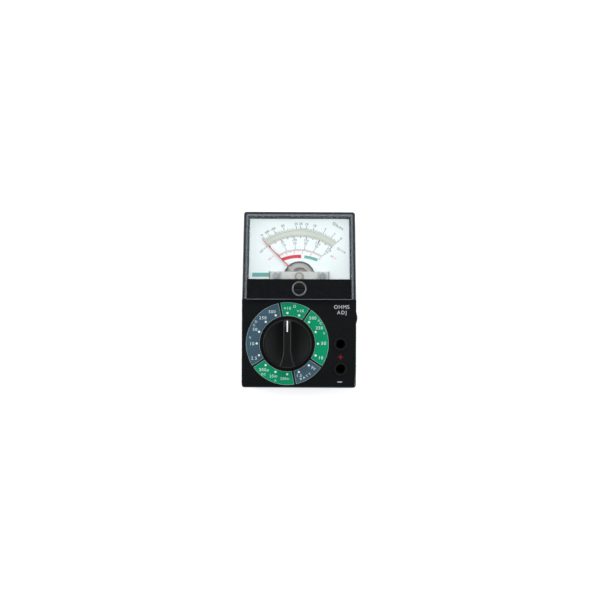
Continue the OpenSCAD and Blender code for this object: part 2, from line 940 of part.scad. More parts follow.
module pointer_needle() {
    w0 = pointer_w / 2;
    w1 = pointer_tip_w / 2;
    color("#d3202c")
    on_pointer()
        translate([0, 0, pointer_z])
            linear_extrude(pointer_t)
                difference() {
                    union() {
                        circle(r = 1.9);
                        polygon([[-w0, 1], [w0, 1], [w1, pointer_l - 0.6], [0, pointer_l], [-w1, pointer_l - 0.6]]);
                    }
                    circle(r = 1.03);
                }
}

// A flat spiral strip that starts on the collet and ends at an angle
module hairspring(end_angle) {
    steps = hair_turns * 18;
    start_r = collet_r + 0.03;
    grow = (hair_r - hair_t - start_r) / steps;
    function at(k, out) =
        let (a = end_angle - (steps - k) * 20, r = start_r + grow * k + out)
        r * [cos(a), sin(a)];
    linear_extrude(hair_h)
        polygon(concat(
            [for (k = [0 : steps]) at(k, hair_t)],
            [for (k = [steps : -1 : 0]) at(k, 0)]
        ));
}

module upper_hairspring() {
    color("#c0a468")
    translate([0, pivot_y, hair_z])
        hairspring(-90);
}

module lower_hairspring() {
    color("#c0a468")
    translate([0, pivot_y, low_hair_z])
        hairspring(0);
}

module zero_lever() {
    fork_half = zero_pin_r + fork_gap;
    pin_r = pivot_y - zero_y + zero_throw;
    color("#9ea2a4")
    at_pivot()
        difference() {
            union() {
                translate([0, 0, lever_z])
                    cylinder(r = 2.6, h = lever_t);
                translate([-0.8, -pin_r - 1.3, lever_z])
                    cube([1.6, pin_r, lever_t]);
                translate([-fork_half - 0.9, -pin_r - 1.3, lever_z])
                    cube([2 * fork_half + 1.8, 3.6, lever_t]);
                translate([-0.4, -tab_r - 0.5, hair_z])
                    cube([0.8, 0.5, lever_z - hair_z + 0.1]);
            }
            translate([0, 0, lever_z - 1])
                cylinder(r = jewel_r + fit, h = 3);
            translate([-fork_half, -pin_r - 2, lever_z - 1])
                cube([2 * fork_half, 3.4, 3]);
        }
}

module zero_screw() {
    slot_w = 0.9;
    color("#1b1d20")
    translate([0, zero_y, 0])
        difference() {
            union() {
                translate([0, 0, flange_z])
                    cylinder(r = zero_d / 2 + 0.8, h = flange_t);
                translate([0, 0, flange_z])
                    cylinder(r = zero_d / 2, h = zero_top - flange_z);
                translate([0, -zero_throw, lever_z - 0.2])
                    cylinder(r = zero_pin_r, h = flange_z - lever_z + 0.3, $fn = 32);
            }
            translate([-zero_d, -slot_w / 2, zero_top - 0.9])
                cube([2 * zero_d, slot_w, 2]);
        }
}

// ------------------------------------------------------------ range switch

module at_knob() {
    translate([knob_x, knob_y, 0])
        children();
}

module at_leaves() {
    at_knob()
        for (a = [0, 180])
            rotate([0, 0, a])
                children();
}

module range_plate() {
    color("#33373b")
    at_knob()
        translate([0, 0, case_h])
            tube(range_out_d / 2, range_in_d / 2, range_t);
}

module selector_knob() {
    flare_from = -knob_d * 0.14;
    half = bar_w / 2;
    end_half = bar_end_w / 2;
    color("#1d1f22")
    at_knob()
        difference() {
            union() {
                translate([0, 0, knob_z])
                    cylinder(r = knob_d / 2, h = knob_t);
                translate([0, 0, bar_z])
                    linear_extrude(bar_h)
                        intersection() {
                            circle(r = knob_d / 2 - 0.2);
                            polygon([
                                [-half, far], [half, far], [half, flare_from],
                                [end_half, -knob_d / 2], [-end_half, -knob_d / 2], [-half, flare_from]
                            ]);
                        }
                translate([0, 0, rotor_z + rotor_t])
                    cylinder(r = hub_r, h = knob_z - rotor_z - rotor_t + 0.1);
                translate([0, 0, rotor_z])
                    cylinder(r = knob_shaft_r, h = knob_z - rotor_z);
            }
            translate([-index_w / 2 - fit, index_out - index_l - fit, knob_top - 0.3])
                cube([index_w + 2 * fit, index_l + far, 2]);
            translate([0, 0, rotor_z - 1])
                cylinder(r = small_r + fit, h = 5);
        }
}

module knob_index() {
    color("#f2f4f4")
    at_knob()
        translate([-index_w / 2, index_out - index_l, knob_top - 0.3])
            cube([index_w, index_l, 0.3]);
}

module selector_rotor() {
    color("#d9d4c6")
    at_knob()
        translate([0, 0, rotor_z])
            difference() {
                cylinder(r = rotor_r, h = rotor_t);
                for (k = [0 : positions - 1])
                    rotate([0, 0, k * 360 / positions])
                        translate([nose_at, 0, -1])
                            cylinder(r = notch_r, h = rotor_t + 2, $fn = 32);
                translate([0, 0, -1])
                    cylinder(r = knob_shaft_r + fit, h = rotor_t + 2);
            }
}

module rotor_screw() {
    color("#a7abad")
    at_knob()
        translate([0, 0, rotor_z])
            mirror([0, 0, 1])
                screw(3, 0.9, small_r, 3.6);
}

module wiper_contacts() {
    plate_z = rotor_z - 0.3;
    tip_z = board_top + track_t + 0.13;
    color("#c98f4a")
    at_knob() {
        translate([-2, wiper_rs[0] - 2, plate_z])
            cube([4, wiper_rs[2] - wiper_rs[0] + 3.6, 0.3]);
        for (r = wiper_rs)
            translate([0, r, tip_z])
                cylinder(r = 0.5, h = plate_z - tip_z, $fn = 24);
    }
}

// Leaf springs with a round nose that rests in the rotor's notches
module detent_springs() {
    leaf_z = rotor_z + (rotor_t - leaf_h) / 2;
    color("#b9bdc0")
    at_leaves()
        translate([0, 0, leaf_z])
            union() {
                translate([leaf_at, -leaf_half_l, 0])
                    cube([leaf_t, 2 * leaf_half_l, leaf_h]);
                translate([nose_at, 0, 0])
                    cylinder(r = nose_r, h = leaf_h, $fn = 32);
            }
}

// ----------------------------------------------------------- circuit board

module circuit_board() {
    notch = boss_r + 0.8;
    color("#3f6b3a")
    difference() {
        intersection() {
            case_slab(wall + board_gap, board_z, board_top);
            translate([-far, -far + board_end_y, 0])
                cube([2 * far, far, far]);
        }
        for (p = [boss_xy[0], boss_xy[1]])
            translate([p.x > 0 ? p.x - notch : p.x + notch - far, p.y + notch - far, board_z - 1])
                cube([far, far, board_t + 2]);
        for (p = board_xy)
            translate([p.x, p.y, board_z - 1])
                cylinder(r = small_r + 0.2, h = board_t + 2);
        for (y = jack_ys)
            translate([jack_x, y, board_z - 1])
                cylinder(r = socket_d / 2 + fit, h = board_t + 2);
        translate([knob_x, knob_y, board_z - 1])
            cylinder(r = 3.6, h = board_t + 2);
    }
}

module board_screws() {
    color("#a7abad")
    for (p = board_xy)
        translate([p.x, p.y, board_z])
            mirror([0, 0, 1])
                screw(1.7, 1.1, small_r, board_t + 2.6);
}

module switch_tracks() {
    step = 360 / positions;
    color("#cf9a50")
    at_knob()
        translate([0, 0, board_top]) {
            for (k = [0, 1])
                tube(wiper_rs[k] + track_w / 2, wiper_rs[k] - track_w / 2, track_t);
            for (k = [0 : positions - 1])
                rotate([0, 0, 90 - step * 0.35 + k * step])
                    rotate_extrude(angle = step * 0.7)
                        translate([wiper_rs[2] - 1.2, 0])
                            square([2.4, track_t]);
        }
}

// An axial part lying under the board, with both leads bent up to it
module axial_part(r, l, drop, span) {
    wire_r = 0.3;
    z = board_z - drop;
    translate([0, 0, z])
        rotate([0, 90, 0])
            translate([0, 0, -l / 2])
                cylinder(r = r, h = l, $fn = 32);
    for (side = [-1, 1]) {
        translate([side > 0 ? 0 : -span / 2 - wire_r, -wire_r, z - wire_r])
            cube([span / 2 + wire_r, 2 * wire_r, 2 * wire_r]);
        translate([side * span / 2 - wire_r, -wire_r, z - wire_r])
            cube([2 * wire_r, 2 * wire_r, drop + wire_r]);
    }
}

// Two banks of resistors below the cell's bay
module resistors() {
    color("#c9b38a")
    translate([0, knob_y, 0])
        for (side = [-1, 1])
            for (row = [0 : 4])
                translate([knob_x + side * 14, 2.7 - row * 3.4, 0])
                    axial_part(1.15, 6.2, 1.9, 9);
}

module diodes() {
    color("#b5502c")
    for (col = [0, 1])
        translate([knob_x + 21 + col * 2.6, knob_y - 7, 0])
            rotate([0, 0, 90])
                axial_part(0.9, 3.8, 1.6, 7);
}

module capacitor() {
    color("#2b4f7f")
    translate([knob_x, knob_y - 6.8, board_z - 7.2])
        cylinder(r = 2.6, h = 7.2);
}

module trimmer() {
    color("#3a6db0")
    translate([knob_x, knob_y - 12.4, board_z - 3.4])
        difference() {
            translate([-3, -2.2, 0])
                cube([6, 4.4, 3.4]);
            translate([0, 0, -1])
                cylinder(r = 1.4, h = 1.8);
        }
}

// The fuse lies under the board, along X, in two clips
module at_fuse() {
    translate([knob_x - fuse_l / 2, knob_y - fuse_down, board_z - fuse_drop])
        rotate([0, 90, 0])
            children();
}

module fuse_glass() {
    color("#dfe8ea", 0.4)
    at_fuse()
        cylinder(r = 2.3, h = fuse_l);
}

module fuse_caps() {
    color("#c5c9cb")
    at_fuse()
        for (end = [0, 1])
            translate([0, 0, end * fuse_l])
                mirror([0, 0, end])
                    difference() {
                        translate([0, 0, -0.4])
                            cylinder(r = fuse_r, h = 5.8);
                        cylinder(r = 2.33, h = 6.4);
                    }
}

module fuse_clips() {
    color("#c9a15c")
    translate([knob_x, knob_y - fuse_down, 0])
        for (side = [-1, 1])
            translate([side * 6.4 - 1.7, 0, 0])
                difference() {
                    translate([0, -3.1, board_z - fuse_drop - 1.2])
                        cube([3.4, 6.2, fuse_drop + 1.2]);
                    translate([-1, 0, board_z - fuse_drop])
                        rotate([0, 90, 0])
                            cylinder(r = fuse_r + fit, h = 6);
                    translate([-1, -2, board_z - fuse_drop - 3])
                        cube([6, 4, 3]);
                }
}

// ---------------------------------------------------------- ohms adjuster

function wheel_z() = panel_in - 0.6 - wheel_t;

module ohm_pot() {
    color("#5a4636")
    translate([wheel_x, wheel_y, board_top]) {
        cylinder(r = 3.4, h = 0.5);
        cylinder(r = wheel_bore_r - wheel_gap, h = panel_in - 0.3 - board_top);
    }
}

module ohm_wheel() {
    knurls = 40;
    color("#1b1d20")
    translate([wheel_x, wheel_y, wheel_z()])
        difference() {
            cylinder(r = wheel_d / 2, h = wheel_t);
            for (k = [0 : knurls - 1])
                rotate([0, 0, k * 360 / knurls])
                    translate([wheel_d / 2 + 0.1, 0, -1])
                        cylinder(r = 0.35, h = wheel_t + 2, $fn = 16);
            translate([0, 0, -1])
                cylinder(r = wheel_bore_r, h = wheel_t + 2);
        }
}

// ------------------------------------------------------------------- jacks

module jack_socket(y) {
    top = case_h - socket_drop;
    color("#c9a24e")
    translate([jack_x, y, top - socket_l])
        difference() {
            union() {
                cylinder(r = socket_d / 2, h = socket_l);
                translate([0, 0, board_z - 0.8 - top + socket_l])
                    cylinder(r = socket_d / 2 + 0.7, h = 0.8);
            }
            translate([0, 0, 1])
                cylinder(r = jack_bore / 2, h = socket_l);
        }
}

module jack_socket_plus() {
    jack_socket(jack_ys[0]);
}

module jack_socket_minus() {
    jack_socket(jack_ys[1]);
}

// ----------------------------------------------------------------- battery

module battery_cell() {
    cap_l = 1.3;
    color("#3b6ea5")
    translate([contact_x[0] + contact_t, cell_y, cell_z])
        rotate([0, 90, 0]) {
            cylinder(r = 2.7, h = cap_l + 0.1);
            translate([0, 0, cap_l])
                cylinder(r = cell_d / 2, h = cell_l - cap_l);
        }
}

module battery_contacts() {
    color("#c8ccce")
    for (x = contact_x) {
        translate([x, cell_y - 5, cell_z - 5])
            cube([contact_t, 10, 9.6]);
        translate([x, contact_tab_y, cell_z - 0.5])
            cube([contact_t, 1.5, 2]);
    }
}

// Swept tube along a list of points, closed at both ends
module sweep(path, r, sides = 8) {
    n = len(path);
    function dir(i) = unit(path[min(i + 1, n - 1)] - path[max(i - 1, 0)]);
    function ring(i, side) =
        let (d = dir(i), u = unit(cross(d, side)), v = cross(d, u))
        [for (k = [0 : sides - 1]) path[i] + r * (u * cos(k * 360 / sides) + v * sin(k * 360 / sides))];
    function points(side) = [for (i = [0 : n - 1]) each ring(i, side)];
    quads = [
        for (i = [0 : n - 2])
            for (k = [0 : sides - 1])
                let (a = i * sides + k, b = i * sides + (k + 1) % sides)
                [a, b, b + sides, a + sides]
    ];
    ends = [
        [for (k = [0 : sides - 1]) sides - 1 - k],
        [for (k = [0 : sides - 1]) (n - 1) * sides + k]
    ];
    polyhedron(points([1, 0, 0.01]), concat(quads, ends));
}

// Conical coil between the flat contact and the cell's base
module battery_spring() {
    wire_r = 0.35;
    turns = 3;
    steps = turns * 12;
    path = [
        for (k = [0 : steps])
            let (t = k / steps, r = 4.2 - 1.6 * t, a = t * turns * 360)
            [(spring_l - 2 * wire_r) * (1 - t) + wire_r, r * cos(a), r * sin(a)]
    ];
    color("#b9bdc0")
    translate([contact_x[1] - spring_l, cell_y, cell_z])
        sweep(path, wire_r, 8);
}

module battery_wires() {
    color("#a02828")
    for (x = contact_x)
        translate([x + contact_t / 2, 0, 0])
            sweep(battery_route, cell_lead_r);
}

module movement_tags() {
    color("#c9a24e")
    for (side = [-1, 1])
        translate([side * tag_x - 1.2, tag_y - 1.2, tag_z])
            cube([2.4, 2.4, tag_t]);
}

module movement_wires() {
    color("#8c2a2a")
    for (side = [-1, 1])
        translate([side * tag_x, 0, 0])
            sweep(movement_route, lead_r);
}

rear_case();
front_case();
meter_cover();
cover_band();
case_screws();
dial_plate();
movement_frame();
frame_screws();
yoke_ring();
yoke_screws();
core_magnet();
core_clamp();
upper_bridge();
bridge_screws();
lower_bridge();
lower_bridge_screws();
upper_jewel_screw();
lower_jewel_screw();
pointer_stops();
coil_former();
moving_coil();
pivot_shafts();
balance_cross();
balance_weights();
pointer_needle();
upper_hairspring();
lower_hairspring();
zero_lever();
zero_screw();
range_plate();
selector_knob();
knob_index();
selector_rotor();
rotor_screw();
wiper_contacts();
detent_springs();
circuit_board();
board_screws();
switch_tracks();
resistors();
diodes();
capacitor();
trimmer();
fuse_glass();
fuse_caps();
fuse_clips();
ohm_pot();
ohm_wheel();
jack_socket_plus();
jack_socket_minus();
battery_cell();
battery_contacts();
battery_spring();
battery_wires();
movement_tags();
movement_wires();
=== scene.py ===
"""A pocket analog multimeter on its back, seen from straight above."""
import json
import math

import bmesh
import bpy
import numpy as np
from mathutils import Euler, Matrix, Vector


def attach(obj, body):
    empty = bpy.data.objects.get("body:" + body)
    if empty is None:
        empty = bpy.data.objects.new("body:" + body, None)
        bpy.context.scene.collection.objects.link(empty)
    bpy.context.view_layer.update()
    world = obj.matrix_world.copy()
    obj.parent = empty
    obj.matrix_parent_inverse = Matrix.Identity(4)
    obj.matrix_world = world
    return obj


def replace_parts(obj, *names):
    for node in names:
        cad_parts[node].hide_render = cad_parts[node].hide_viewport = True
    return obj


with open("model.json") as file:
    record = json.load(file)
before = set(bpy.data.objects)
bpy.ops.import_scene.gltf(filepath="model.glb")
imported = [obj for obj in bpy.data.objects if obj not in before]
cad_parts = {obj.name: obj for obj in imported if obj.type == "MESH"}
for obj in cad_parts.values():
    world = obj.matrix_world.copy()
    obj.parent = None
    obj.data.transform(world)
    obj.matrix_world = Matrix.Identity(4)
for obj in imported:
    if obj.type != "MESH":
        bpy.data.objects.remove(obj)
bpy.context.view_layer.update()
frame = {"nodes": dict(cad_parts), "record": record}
cad_nodes = frame["nodes"]
mm = 0.001


# ---------------------------------------------------------------- the bench
# The meter lies on a white bench under a large soft light tent. The camera
# hangs straight above it on a long lens, a quarter of a degree out of square.
camera_height = 0.9
bench_across = 0.3304
panel_height = 24 * mm
off_centre_x, off_centre_y = 0.47 * mm, -0.15 * mm
out_of_square = 0.27
sensor = 36
camera_data = bpy.data.cameras.new("camera")
camera_data.sensor_width = sensor
camera_data.lens = sensor * camera_height / bench_across
camera_data.clip_start = 0.01
camera = bpy.data.objects.new("camera", camera_data)
camera.location = (off_centre_x, off_centre_y, panel_height + camera_height)
camera.rotation_euler = (0, 0, math.radians(out_of_square))
bpy.context.scene.collection.objects.link(camera)
bpy.context.scene.camera = camera
bpy.context.scene.view_settings.view_transform = "Standard"


def linear(code):
    """sRGB hex colour as linear red, green, blue and 1: each channel to the power that undoes its display curve."""
    srgb = np.array([int(code[k:k + 2], 16) for k in (1, 3, 5)]) / 255
    return (*np.where(srgb <= 0.04045, srgb / 12.92, ((srgb + 0.055) / 1.055) ** 2.4), 1)


def add(tree, kind, inputs=None, **settings):
    """Adds a node, sets its settings, and fills or links its inputs by name or number."""
    node = tree.nodes.new("ShaderNode" + kind)
    for key, value in settings.items():
        setattr(node, key, value)
    for key, value in (inputs or {}).items():
        if isinstance(value, bpy.types.NodeSocket):
            tree.links.new(value, node.inputs[key])
        else:
            node.inputs[key].default_value = value
    return node


def shown_straight(tree):
    """1 for what is seen directly or through clear plastic, and 0 for light on the object and its reflections."""
    path = add(tree, "LightPath")
    seen = add(tree, "Math", {0: path.outputs["Is Camera Ray"], 1: path.outputs["Is Transmission Ray"]},
               operation="MAXIMUM")
    return seen.outputs[0]


tent = bpy.data.worlds.new("light_tent")
tent.use_nodes = True
tree = tent.node_tree
tree.nodes.clear()
# the tent is dimmer round the camera's hole at the top, so that level black plastic stays black
dim_from, dim_to, dimmest = 0.3, 0.8, 0.03
direction = add(tree, "TexCoord").outputs["Generated"]
up = add(tree, "SeparateXYZ", {0: direction}).outputs["Z"]
height = add(tree, "MapRange", {"Value": up, "From Min": dim_from, "From Max": dim_to, "To Min": 1.0,
                                "To Max": dimmest}, interpolation_type="SMOOTHSTEP")
level = add(tree, "Mix", {0: shown_straight(tree), 2: height.outputs[0], 3: 1.0})
background = add(tree, "Background", {"Color": linear("#FBFDFF"), "Strength": level.outputs[0]})
add(tree, "OutputWorld", {"Surface": background.outputs[0]})
bpy.context.scene.world = tent

# each lamp's power in watts, its place and its width in metres; it faces the meter
lamps = {
    "left_panel": (7.1, (-0.95, 0.25, 0.85), 0.7),
    "right_panel": (6.5, (0.95, -0.1, 0.85), 0.7),
    "far_panel": (7.1, (0.1, 0.95, 0.85), 0.8),
}
for name, (power, place, size) in lamps.items():
    lamp = bpy.data.lights.new(name, "AREA")
    lamp.energy = power
    lamp.size = size
    holder = bpy.data.objects.new(name, lamp)
    holder.location = place
    holder.rotation_euler = Vector(place).to_track_quat("Z", "Y").to_euler()
    bpy.context.scene.collection.objects.link(holder)

bench = bpy.data.meshes.new("bench")
reach = 3.0
bench.from_pydata([(-reach, -reach, 0), (reach, -reach, 0), (reach, reach, 0), (-reach, reach, 0)], [],
                  [(0, 1, 2, 3)])
bench_top = bpy.data.objects.new("bench", bench)
bpy.context.scene.collection.objects.link(bench_top)
paper = bpy.data.materials.new("bench_paper")
paper.use_nodes = True
tree = paper.node_tree
tree.nodes.clear()
matt = add(tree, "BsdfDiffuse", {"Color": linear("#F4F6F7")})
lift = add(tree, "Emission", {"Color": linear("#FFFFFF"), "Strength": 0.5})
both = add(tree, "AddShader", {0: matt.outputs[0], 1: lift.outputs[0]})
bright = add(tree, "MixShader", {0: shown_straight(tree), 1: matt.outputs[0], 2: both.outputs[0]})
add(tree, "OutputMaterial", {"Surface": bright.outputs[0]})
bench.materials.append(paper)


# ------------------------------------------------------------ case mouldings
# Two halves in black ABS, injection moulded in a spark-eroded tool, which
# leaves a fine even grain. Every outer edge has the tool's small radius.
sharp_edge = math.radians(32)


def dress(thing, body, material, smooth=True):
    """Turns faces outward, marks the sharp edges, and says what the piece is made of and which body it rides on."""
    mesh = thing.data
    solid = bmesh.new()
    solid.from_mesh(mesh)
    bmesh.ops.remove_doubles(solid, verts=solid.verts, dist=1e-7)
    bmesh.ops.recalc_face_normals(solid, faces=solid.faces)
    for edge in solid.edges:
        edge.smooth = smooth and edge.is_manifold and edge.calc_face_angle(0) < sharp_edge
    for face in solid.faces:
        face.smooth = smooth
    solid.to_mesh(mesh)
    solid.free()
    mesh.materials.clear()
    mesh.materials.append(material)
    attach(thing, body)
    return thing


def body_of(node):
    """The body that a CAD node belongs to."""
    return next(body for body, members in frame["record"]["behaviour"]["bodies"].items() if node in members)


flat_enough, corner_enough = math.radians(0.6), math.radians(30)


def rounded_copy(name, node, material, *rounds, rings=4):
    """A copy of a CAD solid with its flat faces made whole. For each round, a radius and a test on places in
    millimetres, the corners whose two ends both pass are rounded to the radius, in as many steps as rings says."""
    solid = bmesh.new()
    solid.from_mesh(cad_nodes[node].data)
    bmesh.ops.remove_doubles(solid, verts=solid.verts, dist=2e-6)
    bmesh.ops.dissolve_limit(solid, angle_limit=flat_enough, verts=solid.verts, edges=solid.edges)
    for radius, chosen in rounds:
        edges = [edge for edge in solid.edges
                 if edge.is_manifold and edge.calc_face_angle(0) > corner_enough
                 and all(chosen(*(end.co / mm)) for end in edge.verts)]
        bmesh.ops.bevel(solid, geom=edges, offset=radius * mm, segments=rings, profile=0.5, affect="EDGES",
                        clamp_overlap=True)
    mesh = bpy.data.meshes.new(name)
    solid.to_mesh(mesh)
    solid.free()
    thing = bpy.data.objects.new(name, mesh)
    bpy.context.scene.collection.objects.link(thing)
    dress(thing, body_of(node), material)
    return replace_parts(thing, node)


broad_patch, gloss_change, bump_strength = 24, 0.12, 0.6  # in grains, and a share of the roughness either way


def finish(name, colour, rough, grain=0.3, bump=0.03, metallic=0.0, tint=0.06, **sockets):
    """A Principled finish. Its roughness varies with a fine grain and its colour with broad patches of many grains.
    A bump follows the fine grain. Grain and the bump's depth are in millimetres, and tint is the colour's share of
    change either way."""
    material = bpy.data.materials.new(name)
    material.use_nodes = True
    tree = material.node_tree
    shader = tree.nodes["Principled BSDF"]
    place = add(tree, "TexCoord").outputs["Object"]
    fine = add(tree, "TexNoise", {"Vector": place, "Scale": 1 / (grain * mm), "Detail": 3.0})
    broad = add(tree, "TexNoise", {"Vector": place, "Scale": 1 / (grain * broad_patch * mm), "Detail": 2.0})
    base = np.array(linear(colour))
    shades = add(tree, "ValToRGB", {0: broad.outputs["Fac"]})
    for stop, side in zip(shades.color_ramp.elements, (1 - tint, 1 + tint)):
        stop.color = (*np.clip(base[:3] * side, 0, 1), 1)
    shades.color_ramp.elements[0].position = 0.35
    shades.color_ramp.elements[1].position = 0.65
    tree.links.new(shades.outputs[0], shader.inputs["Base Color"])
    gloss = add(tree, "MapRange", {"Value": fine.outputs["Fac"], "From Min": 0.3, "From Max": 0.7,
                                   "To Min": rough * (1 - gloss_change), "To Max": rough * (1 + gloss_change)})
    tree.links.new(gloss.outputs[0], shader.inputs["Roughness"])
    relief = add(tree, "Bump", {"Height": fine.outputs["Fac"], "Distance": bump * mm,
                                 "Strength": bump_strength})
    tree.links.new(relief.outputs[0], shader.inputs["Normal"])
    shader.inputs["Metallic"].default_value = metallic
    for socket, value in sockets.items():
        shader.inputs[socket.replace("_", " ")].default_value = value
    return material


# spark-eroded grain is about 0.1 mm in the tool and is drawn at 0.35 mm to show
eroded_abs = finish("eroded_black_abs", "#070B0E", 0.3, grain=0.35, bump=0.012, tint=0.05, IOR=1.58)
half_width, half_length, side_taper, corner_round = 31.5, 48.5, 0.85, 1.5
step_z, panel, parting = 22.0, 24.0, 12.0
# how far from a level, a wall or a corner a point may lie and still count as on it
level_play, wall_play, corner_play = 0.01, 0.02, 0.03


def on_outside(x, y):
    """True for a place on the outside of the case's walls, whose sides lean in above the middle."""
    side = half_width - side_taper * max(0, y) / half_length
    corner = max(abs(y) - half_length + corner_round, 0), max(abs(x) - side + corner_round, 0)
    on_wall = abs(x) > side - wall_play or abs(y) > half_length - wall_play
    return on_wall or math.hypot(*corner) > corner_round - corner_play


def outline_at(height):
    """A test for places on the outside of the walls at a height."""
    return lambda x, y, z: abs(z - height) < level_play and on_outside(x, y)


panel_end = -0.5
panel_round, step_round, base_round, parting_round = 1.0, 0.65, 0.6, 0.4
rounded_copy("front_shell", "front_case", eroded_abs,
             (panel_round, lambda x, y, z: y < panel_end and outline_at(panel)(x, y, z)),
             (step_round, outline_at(step_z)), (parting_round, outline_at(parting)))
rounded_copy("rear_shell", "rear_case", eroded_abs,
             (base_round, outline_at(0)), (parting_round, outline_at(parting)))


# -------------------------------------------------------------- meter window
# One thick moulding in clear acrylic. Its flat front is polished inside and
# out. The sloped sides keep the tool's fine satin, which blurs what is behind.
haze_patch, gloss_swing, side_shade = 6, 0.4, 0.82  # in millimetres, a share either way, and a share of light


def clear_moulding(name, colour, rough, clearness, ior):
    """Clear plastic that lets lamps and bounced light straight through, so that what it covers is lit. Clearness is
    the share of the light that it passes, and the rest it scatters in its colour."""
    material = bpy.data.materials.new(name)
    material.use_nodes = True
    tree = material.node_tree
    shader = tree.nodes["Principled BSDF"]
    shader.inputs["Base Color"].default_value = linear(colour)
    shader.inputs["Transmission Weight"].default_value = clearness
    shader.inputs["IOR"].default_value = ior
    place = add(tree, "TexCoord").outputs["Object"]
    haze = add(tree, "TexNoise", {"Vector": place, "Scale": 1 / (haze_patch * mm), "Detail": 2.0})
    satin = add(tree, "MapRange", {"Value": haze.outputs["Fac"], "To Min": (1 - gloss_swing) * rough,
                                   "To Max": (1 + gloss_swing) * rough})
    tree.links.new(satin.outputs[0], shader.inputs["Roughness"])
    path = add(tree, "LightPath")
    passes = add(tree, "Math", {0: path.outputs["Is Shadow Ray"], 1: path.outputs["Is Diffuse Ray"]},
                 operation="MAXIMUM")
    # light that meets a steep side is turned away, so the sides shade what lies behind them
    facing = add(tree, "SeparateXYZ", {0: add(tree, "NewGeometry").outputs["Normal"]}).outputs["Z"]
    level = add(tree, "Math", {0: facing}, operation="ABSOLUTE").outputs[0]
    shade = add(tree, "MapRange", {"Value": level, "From Min": 0.2, "From Max": 0.9, "To Min": side_shade,
                                   "To Max": 1.0})
    passed = add(tree, "CombineColor", {0: shade.outputs[0], 1: shade.outputs[0], 2: shade.outputs[0]})
    through = add(tree, "BsdfTransparent", {"Color": passed.outputs[0]})
    mixed = add(tree, "MixShader", {0: passes.outputs[0], 1: shader.outputs[0], 2: through.outputs[0]})
    tree.links.new(mixed.outputs[0], tree.nodes["Material Output"].inputs["Surface"])
    return material


def give_sides(shell, material, flattest):
    """Second finish on the faces whose normal's height is less than flattest, which are the moulding's sides."""
    shell.data.materials.append(material)
    normals = np.empty(len(shell.data.polygons) * 3)
    shell.data.polygons.foreach_get("normal", normals)
    steep = np.abs(normals[2::3]) < flattest
    shell.data.polygons.foreach_set("material_index", steep.astype(np.int32))


acrylic = clear_moulding("clear_acrylic", "#FCFEFF", 0.02, 1.0, 1.49)
# the side walls take a slate colour, a painted shade for the dark case seen through them
painted_shade_side = clear_moulding("satin_acrylic_painted_shade_side", "#414F5B", 0.25, 0.5, 1.49)
zero_at = (0.0, 6.1)
front_round, front_above, clear_of_screw, flattest_side = 0.3, 25.4, 6, 0.93
window = rounded_copy("window", "meter_cover", acrylic,
                      (front_round, lambda x, y, z: z > front_above and math.dist((x, y), zero_at) > clear_of_screw))
give_sides(window, painted_shade_side, flattest_side)


# --------------------------------------------------------------- zero ring
# A satin collar round the zero screw, turned with a rounded top and pressed
# over the window's raised ring. The screw in it is black with one slot.
def piece(name, points, faces, body, material, smooth=True):
    """A mesh object from points in millimetres and faces, riding on a body."""
    mesh = bpy.data.meshes.new(name)
    mesh.from_pydata((np.asarray(points, float).reshape(-1, 3) * mm).tolist(), [], faces)
    thing = bpy.data.objects.new(name, mesh)
    bpy.context.scene.collection.objects.link(thing)
    return dress(thing, body, material, smooth)


def lathe(profile, centre, turns=96):
    """Points and faces of a profile of radius and height, in millimetres, carried once round a vertical axis:
    x and y are the radius times the angle's cosine and sine. A radius of 0 closes into a pole."""
    profile = np.asarray(profile, float)
    angle = np.arange(turns) * 2 * math.pi / turns
    grid = np.stack([centre[0] + profile[:, :1] * np.cos(angle), centre[1] + profile[:, :1] * np.sin(angle),
                     np.repeat(profile[:, 1:], turns, axis=1)], axis=2)
    return grid, grid_faces(len(profile), turns)


def grid_faces(rows, columns):
    """Quads between neighbouring points of a grid whose last column joins its first, so that it is a closed tube."""
    row = np.arange(rows - 1)[:, None] * columns
    column = np.arange(columns)[None, :]
    after = (column + 1) % columns
    quads = np.stack([row + column, row + after, row + columns + after, row + columns + column], axis=2)
    return quads.reshape(-1, 4).tolist()


def bead(r_in, r_out, low, top, radius, steps=8):
    """Closed profile of a ring of rectangular section whose two upper corners are rounded to a radius."""
    turn = np.linspace(0, math.pi / 2, steps)
    outer = np.stack([r_out - radius + radius * np.cos(turn), top - radius + radius * np.sin(turn)], axis=1)
    inner = np.stack([r_in + radius - radius * np.sin(turn), top - radius + radius * np.cos(turn)], axis=1)
    return np.concatenate([[[r_in, low], [r_out, low]], outer, inner, [[r_in, low]]])


# satin nickel gives the collar a broad grey highlight, and the screw's black finish has a weaker one
satin_grey = finish("satin_grey_collar", "#7B8085", 0.3, grain=0.5, bump=0.004, metallic=0.6, tint=0.04)
collar_in, collar_out, window_front, collar_top, collar_round = 3.24, 3.98, 27.0, 27.5, 0.34
points, faces = lathe(bead(collar_in, collar_out, window_front, collar_top, collar_round), zero_at)
piece("zero_collar", points, faces, "case", satin_grey)
satin_black = finish("satin_black_screw", "#0F1113", 0.34, grain=0.4, bump=0.004, tint=0.04)
head_round, head_above = 0.12, 26
rounded_copy("zero_slot_screw", "zero_screw", satin_black, (head_round, lambda x, y, z: z > head_above))


# ------------------------------------------------------------- printed band
# A bar of black ink on the window's front, which hides the lower edge of
# the dial. It dries glossy, a little uneven.
def wear(node, material):
    """Gives a CAD solid a finish in place of its plain one."""
    cad_nodes[node].data.materials.clear()
    cad_nodes[node].data.materials.append(material)


wear("cover_band", finish("glossy_black_ink", "#0C0E10", 0.3, grain=1.2, bump=0.003, tint=0.08))


